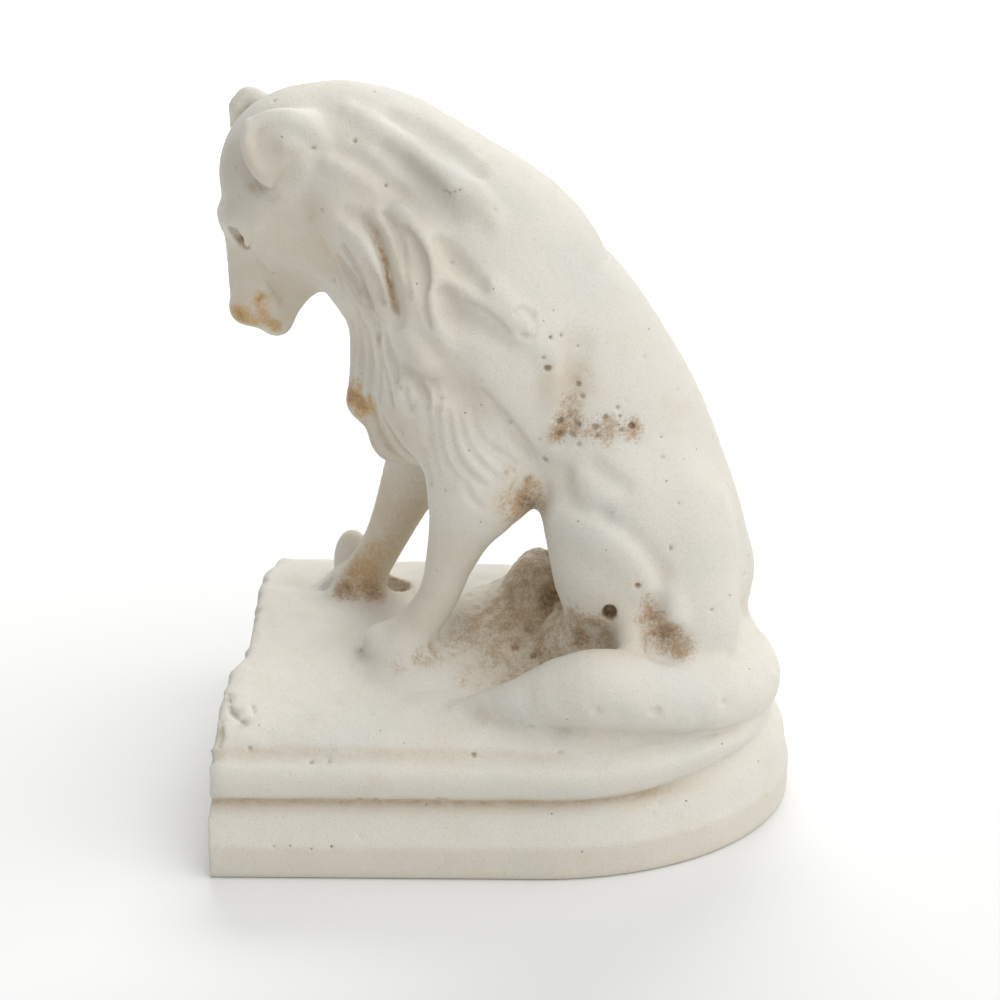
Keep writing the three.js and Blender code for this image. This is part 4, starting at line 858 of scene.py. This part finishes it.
def skin_of(clay):
    """Surface of the clay as four-sided facets, one point to each grid cell the surface crosses."""
    inside = clay.distance < 0
    cells = clay.count - 1
    corners = list(np.ndindex(2, 2, 2))
    total = np.zeros(cells, np.int8)
    for corner in corners:
        total += inside[tuple(slice(a, a + n) for a, n in zip(corner, cells))]
    crossed = np.argwhere((total > 0) & (total < 8))
    value = np.stack([clay.distance[tuple((crossed + corner).T)] for corner in corners], 1)
    moved = np.zeros((len(crossed), 3))
    crossings = np.zeros(len(crossed))
    for a, first in enumerate(corners):
        for b, second in enumerate(corners):
            if b < a or sum(abs(p - q) for p, q in zip(first, second)) != 1:
                continue
            cut = (value[:, a] < 0) != (value[:, b] < 0)
            t = value[cut, a] / (value[cut, a] - value[cut, b])
            moved[cut] += first + t[:, None] * (np.array(second) - first)
            crossings[cut] += 1
    points = clay.low + clay.cell * (crossed + moved / crossings[:, None])
    index = np.full(cells, -1, np.int32)
    index[tuple(crossed.T)] = np.arange(len(crossed))
    quads = []
    for axis in range(3):
        u, v = (axis + 1) % 3, (axis + 2) % 3
        low = [slice(1, -1)] * 3
        high = list(low)
        low[axis] = slice(1, -2)
        high[axis] = slice(2, -1)
        here, there = inside[tuple(low)], inside[tuple(high)]
        base = np.argwhere(here != there)
        flip = there[tuple(base.T)]
        base = base + 1
        ring = []
        for du, dv in ((0, 0), (1, 0), (1, 1), (0, 1)):
            cell = base.copy()
            cell[:, u] -= du
            cell[:, v] -= dv
            ring.append(index[tuple(cell.T)])
        ring = np.stack(ring, 1)
        ring[flip] = ring[flip][:, ::-1]
        quads.append(ring)
    return points, np.concatenate(quads)


def read_vectors(items, name):
    values = np.empty(len(items) * 3, np.float32)
    items.foreach_get(name, values)
    return values.reshape(-1, 3).astype(float)


def make_mesh(name, points, quads):
    """A mesh from points in the sculpt's own millimetres."""
    mesh = bpy.data.meshes.new(name)
    mesh.vertices.add(len(points))
    mesh.loops.add(quads.size)
    mesh.polygons.add(len(quads))
    mesh.loops.foreach_set("vertex_index", quads.astype(np.int32).ravel())
    mesh.polygons.foreach_set("loop_start", np.arange(0, quads.size, 4, dtype=np.int32))
    metres = (points + (SHIFT_X, 0, 0)) * MM
    mesh.vertices.foreach_set("co", metres.astype(np.float32).ravel())
    mesh.update(calc_edges=True)
    mesh.validate()
    return mesh


def sculpt():
    clay = Clay(CLAY_LOW, CLAY_HIGH, CELL)
    shape_trunk(clay)
    shape_limbs(clay)
    shape_neck(clay)
    shape_head(clay)
    shape_mane(clay)
    shape_thighs(clay)
    shape_heap(clay)
    shape_tail(clay)
    soften_paws(clay)
    shape_ground(clay)
    shape_block(clay)
    carve_hair(clay)
    carve_flanks(clay)
    carve_thigh_bases(clay)
    carve_toes(clay)
    chip_end(clay)
    for uneven in WEAR:
        clay.roughen(*uneven)
    pierce(clay)
    settle(clay)
    return clay


def thin(piece, triangles):
    """Fewer facets, most of them kept where the surface bends."""
    count = sum(len(face.vertices) - 2 for face in piece.data.polygons)
    if count <= triangles:
        return
    modifier = piece.modifiers.new("Thin", "DECIMATE")
    modifier.ratio = triangles / count
    graph = bpy.context.evaluated_depsgraph_get()
    thinned = bpy.data.meshes.new_from_object(piece.evaluated_get(graph))
    piece.modifiers.clear()
    old = piece.data
    piece.data = thinned
    bpy.data.meshes.remove(old)


# Soft round spots (x, y, z, radius, strength): earth, and painted shade under the leaf of the left ear, in
# the left eye and in the holes by the left haunch and the right forepaw
EARTH_AND_SHADE_SPOTS = head_path([
    (17.4, -13.4, 146, 3, 0.3), (15.6, -13.8, 141.6, 3.6, 0.5), (13, -15, 139.6, 3.4, 0.2),
    (18.4, -7.4, 129.8, 2.2, 0.85), (17.8, -8.2, 128.4, 1.6, 0.7),
]) + [
    (14.6, -25, 46, 5, 0.8), (20, -26.4, 47, 4.6, 0.55), (23.4, -28, 49, 3.4, 0.4), (14, -25, 51, 4.4, 0.6),
    (18.6, -27, 51.5, 4, 0.5), (29.9, -30, 54, 4, 0.75), (32.6, -29.6, 49, 5, 0.85),
    (36.4, -29.4, 46.6, 4, 0.7), (29.6, -30, 58.4, 2.4, 0.35), (21.2, -27.4, 54.3, 3, 1),
    (5, 0, 47, 13, 0.66), (9, -8, 47, 7, 0.86), (0, -6, 40, 11, 0.62), (10, -16, 41, 9, 0.56),
    (14, -20, 44, 7, 0.6), (-7, -8, 40, 9, 0.5), (-11, -11, 39.6, 6, 0.36), (-13, -16, 38.5, 5, 0.3),
    (-2, -17, 38, 8, 0.4), (3, -20, 37, 7, 0.42), (-2, -25, 35, 7, 0.26), (-8, -23, 36, 7, 0.24),
    (4.7, -15, 37, 2.4, 0.6), (0.7, -14.5, 38.6, 1.8, 0.7), (2.8, -20.4, 76.4, 4.6, 0.95),
    (0.8, -22, 75, 4.4, 0.7), (-1.6, -23, 77, 4.6, 0.4), (3.6, -20, 79, 3, 0.85),
    (-1.5, -23.6, 82.6, 4, 0.2), (9.6, -22.4, 91.4, 3, 0.75), (11.5, -22.6, 94, 4.4, 0.6),
    (12, -22.5, 98, 4, 0.3), (15, -22.4, 92.4, 4, 0.5), (19.4, -22, 92.6, 4.4, 0.6),
    (25, -20.4, 92, 3.6, 0.6), (14, -22, 103, 6, 0.2), (-28.4, 18.6, 38.4, 3.8, 1),
    (-40, 12.6, 39.6, 3.4, 0.8), (-36.6, 12, 39.4, 3.6, 0.5), (-33.6, 12.4, 39.4, 4.4, 0.8),
    (-37, 13.4, 43, 5.6, 0.3), (-33.4, -12.6, 36.2, 2.2, 0.3), (-17.5, -18.4, 40, 1.8, 0.4),
    (-16.6, -20, 38.6, 4, 0.42), (-19.6, -20.6, 38.4, 4, 0.35), (-24, -21.6, 37, 4.6, 0.26),
    (-29, -9, 88, 5, 0.2), (-25, -13, 87, 3.4, 0.3), (-27, -9, 84.6, 4, 0.2), (-33.6, -5, 92, 3.4, 0.36),
    (-30.4, -8.4, 90, 3.4, 0.4),
]
# The same laid along a line: painted shade with earth in the narrow furrow of the mane, the crack under the
# left haunch and the cracks of the broken end
EARTH_AND_SHADE_LINES = [
    [
        (-29, -22.6, 136, 1, 0.15), (-26.4, -23.2, 131.4, 1, 0.6), (-25.2, -23.6, 127, 0.9, 0.9),
        (-24, -23.6, 122.4, 1, 1), (-23.1, -23.4, 118.6, 1, 1),
    ],
    [(29.6, -29.6, 48.6, 0.5, 0.7), (29.3, -29.9, 47.2, 0.6, 1), (28.8, -30.4, 46, 0.5, 0.9)],
    [(-60.2, -29.1, 34, 0.8, 0.2), (-59, -34.6, 32.7, 0.9, 0.4), (-55, -39.6, 31, 0.8, 0.2)],
    [(-60.5, -38, 31.5, 0.8, 0.2), (-60, -42, 29.5, 1, 0.35), (-60.4, -45.4, 27.5, 0.8, 0.2)],
]
OCHRE_SPOTS = head_path([
    (19.2, -3.6, 111.6, 3.8, 0.9), (17, -5, 110.4, 2.2, 0.7), (15.4, -6.8, 116.2, 1.6, 1),
    (15.4, -6.8, 116, 3, 0.55), (15.2, -6.6, 114, 2.2, 0.66), (15, -6.4, 112.4, 2.2, 0.7),
    (14.4, -5.4, 110.8, 2.2, 0.75), (13.4, -4.8, 109.6, 2.2, 0.75), (12, -4, 108.4, 2.2, 0.7),
]) + [
    (-35.4, -3, 92.6, 3.6, 0.95), (-33, -5, 91.2, 3.6, 0.95), (-31, -7.6, 92, 3.2, 0.8),
    (-29.4, -9.6, 93, 2.6, 0.55), (-34.4, -4, 95.4, 3, 0.55), (-33.4, -4, 89.4, 2.6, 0.7),
    (-28, 12, 50, 8, 0.4), (-24, 12, 60, 8, 0.34), (-22, 12, 68, 8, 0.26), (-36, 13, 44, 7, 0.66),
    (-33, 12, 49, 6, 0.5),
]
# Broad painted shade, warm in tone: on the face, the left ear, the mane, the chest, the legs and under the
# body
PAINTED_WARM_SHADE_SPOTS = head_path([
    (14, -6, 118, 14, 1), (13, -7, 112, 10, 1), (10, -14, 130, 12, 0.7), (18, -8, 142, 9, 0.7),
    (13.4, -16.4, 148, 6.4, 1), (3, -18, 127, 9, 1), (3, -18, 136, 8, 0.8),
]) + [
    (-30, -8, 84, 12, 1), (-22, -18, 92, 10, 0.8), (-30, 12, 60, 16, 1), (-32, 16, 46, 12, 1),
    (-14, -22, 62, 12, 0.5), (-18, -20, 50, 12, 0.6), (0, -20, 76, 9, 1), (11, -23, 103, 8, 0.7),
    (14, -23, 112, 6, 0.4), (-28, -21, 122, 9, 0.7), (-32, -10, 108, 12, 0.6), (-26, -18, 138, 13, 0.6),
    (-18, -24, 124, 13, 0.45), (-36, -14, 148, 10, 0.3), (-16, -27, 108, 10, 0.4), (-8, -27, 100, 8, 0.4),
    (4, -8, 40, 20, 1), (22, -30, 50, 10, 0.7),
]
# Painted grey shade: on the face, under the left ear, on the mane, throat and chest, beside the left forepaw
# and in the cracks of the broken end
PAINTED_GREY_SHADE_SPOTS = head_path([
    (13, -8, 120, 11, 0.22), (18, -8, 142, 9, 0.5), (13.4, -16.4, 148, 6, 0.4), (17, -13, 141, 5, 0.5),
    (14, -8, 116, 7, 0.2),
]) + [
    (-33, -12.8, 36.4, 3, 0.9), (-31, -15.6, 36.4, 4, 0.7), (-59.6, -31.6, 33.4, 1.6, 0.9),
    (-58, -36, 32.4, 1.8, 1), (-55.2, -38.6, 31.2, 1.6, 0.9), (-60.4, -34.8, 32, 1.6, 0.7),
    (-16, -13, 148, 9, 0.35), (-33, -8, 102, 14, 0.2), (-31, -20, 124, 9, 0.25), (-24, -16, 90, 10, 0.2),
    (-20, -18, 143, 12, 0.5), (-26, -20, 131, 9, 0.25), (-12, -17, 140, 9, 0.25), (-30, -8, 84, 9, 0.2),
]


class Nodes:
    """Short names for making a material's nodes."""

    def __init__(self, name):
        self.material = bpy.data.materials.new(name)
        self.material.use_nodes = True
        self.tree = self.material.node_tree
        self.shader = self.tree.nodes["Principled BSDF"]
        in_metres = self.make("TexCoord").outputs["Object"]
        self.place = self.make("VectorMath", {0: in_metres, "Scale": 1 / MM}, operation="SCALE").outputs[0]

    def make(self, kind, inputs=None, **settings):
        """A node. Each of its inputs is set to a number or colour, or linked to another node's output."""
        node = self.tree.nodes.new("ShaderNode" + kind)
        for name, value in settings.items():
            setattr(node, name, value)
        for name, value in (inputs or {}).items():
            if isinstance(value, bpy.types.NodeSocket):
                self.link(value, node.inputs[name])
            else:
                node.inputs[name].default_value = value
        return node

    def link(self, source, target):
        self.tree.links.new(source, target)

    def noise(self, size, detail=3.0, roughness=0.55):
        """Cloudy values from 0 to 1, with spots about size millimetres across."""
        inputs = {"Vector": self.place, "Scale": 1 / size, "Detail": detail, "Roughness": roughness}
        return self.make("TexNoise", inputs).outputs["Fac"]

    def cells(self, size):
        """Distance from the middle of the nearest of many scattered cells, and the cell's own colour."""
        node = self.make("TexVoronoi", {"Vector": self.place, "Scale": 1 / size})
        return node.outputs["Distance"], node.outputs["Color"]

    def attribute(self, name):
        return self.make("Attribute", attribute_name=name).outputs["Fac"]

    def math(self, operation, a, b):
        return self.make("Math", {0: a, 1: b}, operation=operation).outputs[0]

    def plus(self, a, b):
        return self.math("ADD", a, b)

    def times(self, a, b):
        return self.math("MULTIPLY", a, b)

    def ramp(self, value, low, high, start=0.0, end=1.0):
        """Start below low, end above high, and smooth between."""
        inputs = {"Value": value, "From Min": low, "From Max": high, "To Min": start, "To Max": end}
        return self.make("MapRange", inputs, interpolation_type="SMOOTHSTEP").outputs["Result"]

    def mix(self, a, b, part):
        """A colour that goes from a to b. The node's sockets 6 and 7 are its two colours."""
        return self.make("Mix", {0: part, 6: a, 7: b}, data_type="RGBA").outputs[2]

    def bump(self, height, depth, before=None):
        """Relief of depth millimetres from heights between 0 and 1, on top of the relief before."""
        inputs = {"Distance": depth * MM, "Height": height}
        if before is not None:
            inputs["Normal"] = before
        return self.make("Bump", inputs).outputs["Normal"]


IVORY = (0.715, 0.685, 0.61, 1)
IVORY_COOL = (0.68, 0.665, 0.605, 1)
IVORY_WARM = (0.68, 0.62, 0.505, 1)
# Brown of the painted shade in hollows and pinholes
HOLLOW_SHADE_BROWN = (0.36, 0.28, 0.19, 1)
# Earth, and the brown of painted shade in furrows, cracks and holes
EARTH_AND_SHADE_BROWN = (0.42, 0.288, 0.168, 1)
EARTH_AND_SHADE_DARK = (0.11, 0.067, 0.036, 1)
OCHRE = (0.51, 0.312, 0.112, 1)
OCHRE_DARK = (0.27, 0.15, 0.06, 1)
# Colour of the painted grey shade
GREY_SHADE = (0.50, 0.49, 0.45, 1)
# Warm tone of the painted shade
WARM_SHADE_TAN = (0.63, 0.55, 0.43, 1)
DARK_GRAIN = (0.5, 0.45, 0.37, 1)


def stone_material():
    n = Nodes("ivory_stone")
    dirt_and_shade, ochre, hollow, painted_grey_shade, painted_warm_shade = map(n.attribute, ("dirt_and_shade", "ochre", "hollow", "painted_grey_shade", "painted_warm_shade"))
    # Slow clouds of warmer and cooler stone
    colour = n.mix(IVORY, IVORY_COOL, n.ramp(n.noise(22), 0.45, 0.7))
    colour = n.mix(colour, IVORY_WARM, n.ramp(n.noise(9), 0.5, 0.8, 0, 0.55))
    # Painted warm shade, patchy
    colour = n.mix(colour, WARM_SHADE_TAN, n.times(painted_warm_shade, n.ramp(n.noise(5), 0.2, 0.7, 0.55, 1)))
    # Painted grey shade
    colour = n.mix(colour, GREY_SHADE, painted_grey_shade)
    # Grain, one to three tenths of a millimetre
    grain = n.noise(0.35, 2)
    colour = n.mix(colour, DARK_GRAIN, n.ramp(grain, 0.52, 0.75, 0, 0.5))
    # Painted shade in hollows, patchy and brown
    hollow_shade = n.times(n.ramp(hollow, 0.15, 0.95), n.ramp(n.noise(1.6), 0.3, 0.65, 0.35, 0.7))
    colour = n.mix(colour, HOLLOW_SHADE_BROWN, hollow_shade)
    # Pinholes, their insides painted with shade
    away, cell = n.cells(2.6)
    pick = n.ramp(cell, 0.78, 0.8)
    pinhole = n.times(n.ramp(away, 0.05, 0.09, 1, 0), pick)
    colour = n.mix(colour, HOLLOW_SHADE_BROWN, n.times(pinhole, 0.85))
    # Ochre stains
    ochre_part = n.ramp(n.plus(ochre, n.ramp(n.noise(0.8), 0.25, 0.75, -0.16, 0.16)), 0.1, 0.95)
    ochre_colour = n.mix(OCHRE, OCHRE_DARK, n.ramp(n.plus(ochre, n.noise(0.7)), 1.2, 1.7))
    colour = n.mix(colour, ochre_colour, n.times(ochre_part, 0.92))
    # Earth, and painted shade in the furrow, cracks, holes and groove and under the left ear, grainy at its
    # edges
    patches = n.ramp(n.noise(2.6, 3, 0.6), 0.3, 0.7, -0.2, 0.2)
    scatter = n.ramp(n.noise(0.7, 3, 0.7), 0.3, 0.7, -0.22, 0.22)
    uneven = n.times(n.plus(patches, scatter), n.ramp(dirt_and_shade, 0.02, 0.35))
    dirt_and_shade_part = n.ramp(n.plus(dirt_and_shade, uneven), 0, 0.95)
    dirt_and_shade_colour = n.mix(EARTH_AND_SHADE_BROWN, EARTH_AND_SHADE_DARK, n.ramp(n.plus(dirt_and_shade, n.noise(0.9, 3, 0.75)), 1.15, 1.6))
    colour = n.mix(colour, dirt_and_shade_colour, n.times(dirt_and_shade_part, 0.92))
    n.link(colour, n.shader.inputs["Base Color"])
    rough = n.ramp(n.noise(3), 0.2, 0.8, 0.62, 0.78)
    n.link(n.plus(rough, n.times(dirt_and_shade_part, 0.2)), n.shader.inputs["Roughness"])
    normal = n.bump(grain, 0.07)
    normal = n.bump(n.noise(1.5), 0.1, normal)
    normal = n.bump(n.math("SUBTRACT", 1.0, pinhole), 0.25, normal)
    n.link(normal, n.shader.inputs["Normal"])
    return n.material


def spotted(places, spots, seed, blur=0.6, spacing=2.2):
    """How strongly each place is marked by soft round spots (x, y, z, radius, strength)."""
    places = places + blur * np.stack([random_at(places, spacing, seed + i) for i in range(3)], 1)
    mark = np.zeros(len(places))
    for x, y, z, radius, strength in spots:
        away = np.linalg.norm(places - (x, y, z), axis=1) / radius
        mark = np.maximum(mark, strength * smooth_step(1.25 - away))
    return mark


# How far out from the surface to look for stone opposite, in millimetres, and how much each counts
HOLLOW_LOOKS = ((0.8, 0.9), (2.0, 0.7))


def paint(mesh, clay):
    """Store with each vertex how far it is stained, dirty, painted with shade, broken or down in a hollow."""
    places = read_vectors(mesh.vertices, "co") / MM - (SHIFT_X, 0, 0)
    normals = read_vectors(mesh.vertex_normals, "vector")
    x, y, z = places.T
    # How closed in each place is, for the painted shade of hollows
    hollow = np.zeros(len(places))
    for reach, part in HOLLOW_LOOKS:
        clear = clay.sample(places + normals * reach) / reach
        hollow = np.maximum(hollow, part * np.clip(1 - clear, 0, 1))
    # Parts of the plinth: the broken end, the groove, the seam above the round moulding, the foot
    edge = -57.5 + 0.8 * random_at(places, spacing=3, seed=40)
    broken = below(x, edge, 4) * above(z, 14, 4) * below(z, 48, 6)
    groove = below(z, 19.4, 2) * above(z, 13.4, 3) * below(x, 50, 20)
    seam = below(np.abs(z - MEETING_HEIGHT), 1.9, 1.5) * above(np.abs(y), 41, 2) * below(x, 22, 15)
    foot = below(z, 9.8, 3)
    lines = [tuple(spot) for line in EARTH_AND_SHADE_LINES for spot in smooth_path(line, 6)]
    # Painted shade beside the furrow and the cracks
    shade_beside_lines = [(*at, 1.5 * radius, strength) for *at, radius, strength in lines]
    # Earth and painted shade inside the bubble holes
    holes = [(*at, 0.9 * radius, 0.95) for *at, radius in PORES]
    parts = {
        "ochre": [spotted(places, OCHRE_SPOTS, seed=20)],
        # Painted grey shade on the broken end and at the spots
        "painted_grey_shade": [0.45 * broken, spotted(places, PAINTED_GREY_SHADE_SPOTS, seed=50)],
        # Painted warm shade in the groove, along the seam, toward the foot of the block and at the spots
        "painted_warm_shade": [groove + 0.35 * foot, 0.45 * seam, spotted(places, PAINTED_WARM_SHADE_SPOTS, seed=30)],
        # Painted shade in hollows, in the groove and beside the furrow and the cracks
        "hollow": [hollow, 0.5 * groove ** 2, 0.9 * spotted(places, shade_beside_lines, seed=70)],
        # Earth, and painted shade in the furrow, the cracks, the bubble holes and the groove and along the
        # seam
        "dirt_and_shade": [
            spotted(places, EARTH_AND_SHADE_SPOTS + lines, seed=10),
            spotted(places, holes, seed=60, blur=0),
            0.3 * groove ** 5,
            0.16 * seam,
        ],
    }
    for name, layers in parts.items():
        attribute = mesh.attributes.new(name, "FLOAT", "POINT")
        strongest = np.clip(np.maximum.reduce(layers), 0, 1)
        attribute.data.foreach_set("value", strongest.astype(np.float32))


def build_piece():
    clay = sculpt()
    points, quads = skin_of(clay)
    piece = bpy.data.objects.new("stone_dog", make_mesh("stone_dog", points, quads))
    bpy.context.scene.collection.objects.link(piece)
    thin(piece, TRIANGLES)
    for face in piece.data.polygons:
        face.use_smooth = True
    paint(piece.data, clay)
    piece.data.materials.append(stone_material())
    return piece


PAPER = (0.82, 0.82, 0.815, 1)
PAPER_ROUGHNESS = 0.9
FLOOR_SIZE = 6.0
SKY_STRENGTH = 0.44
KEY_POWER = 1.85
KEY_WIDTH_DEGREES = 80
KEY_DIRECTION = (-0.55, 0.27, -0.76)
BACKDROP_POWER = 40
BACKDROP_SIZE = 1.6
BACKDROP_PLACE = (0, 1.6, 1.3)
BACKDROP_DIRECTION = (0, 0.3, -1.3)


def build_floor():
    bpy.ops.mesh.primitive_plane_add(size=FLOOR_SIZE, location=(0, 0, 0))
    floor = bpy.context.object
    floor.name = "floor"
    material = bpy.data.materials.new("paper")
    material.use_nodes = True
    shader = material.node_tree.nodes["Principled BSDF"]
    shader.inputs["Base Color"].default_value = PAPER
    shader.inputs["Roughness"].default_value = PAPER_ROUGHNESS
    floor.data.materials.append(material)
    return floor


def aim(thing, direction):
    thing.rotation_mode = "QUATERNION"
    thing.rotation_quaternion = Vector(direction).to_track_quat("-Z", "Y")


def add_light(name, kind, power, place, direction):
    data = bpy.data.lights.new(name, kind)
    data.energy = power
    light = bpy.data.objects.new(name, data)
    bpy.context.scene.collection.objects.link(light)
    light.location = place
    aim(light, direction)
    return data


def build_lights():
    bpy.context.scene.view_settings.view_transform = "Standard"
    world = bpy.data.worlds.new("studio")
    bpy.context.scene.world = world
    world.use_nodes = True
    background = world.node_tree.nodes["Background"]
    background.inputs["Color"].default_value = (1, 1, 1, 1)
    background.inputs["Strength"].default_value = SKY_STRENGTH
    key = add_light("key", "SUN", KEY_POWER, (0, 0, 0), KEY_DIRECTION)
    key.angle = math.radians(KEY_WIDTH_DEGREES)
    # Lights the paper behind the piece
    backdrop = add_light("backdrop", "AREA", BACKDROP_POWER, BACKDROP_PLACE, BACKDROP_DIRECTION)
    backdrop.shape = "DISK"
    backdrop.size = BACKDROP_SIZE


# Camera, in metres and degrees
AZIMUTH = 3.0
ELEVATION = 21.5
DISTANCE = 0.5
TARGET = (SHIFT_X * MM - 0.0034, 0.0, 0.0678)
LENS = 81.65
SENSOR = 36.0


def build_camera():
    data = bpy.data.cameras.new("camera")
    data.lens = LENS
    data.sensor_width = SENSOR
    camera = bpy.data.objects.new("camera", data)
    bpy.context.scene.collection.objects.link(camera)
    azimuth, elevation = math.radians(AZIMUTH), math.radians(ELEVATION)
    back = Vector((
        math.sin(azimuth) * math.cos(elevation),
        -math.cos(azimuth) * math.cos(elevation),
        math.sin(elevation),
    ))
    camera.location = Vector(TARGET) + back * DISTANCE
    aim(camera, -back)
    bpy.context.scene.camera = camera


dog = build_piece()
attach(dog, "root")
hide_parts(NODE)
build_floor()
build_lights()
build_camera()
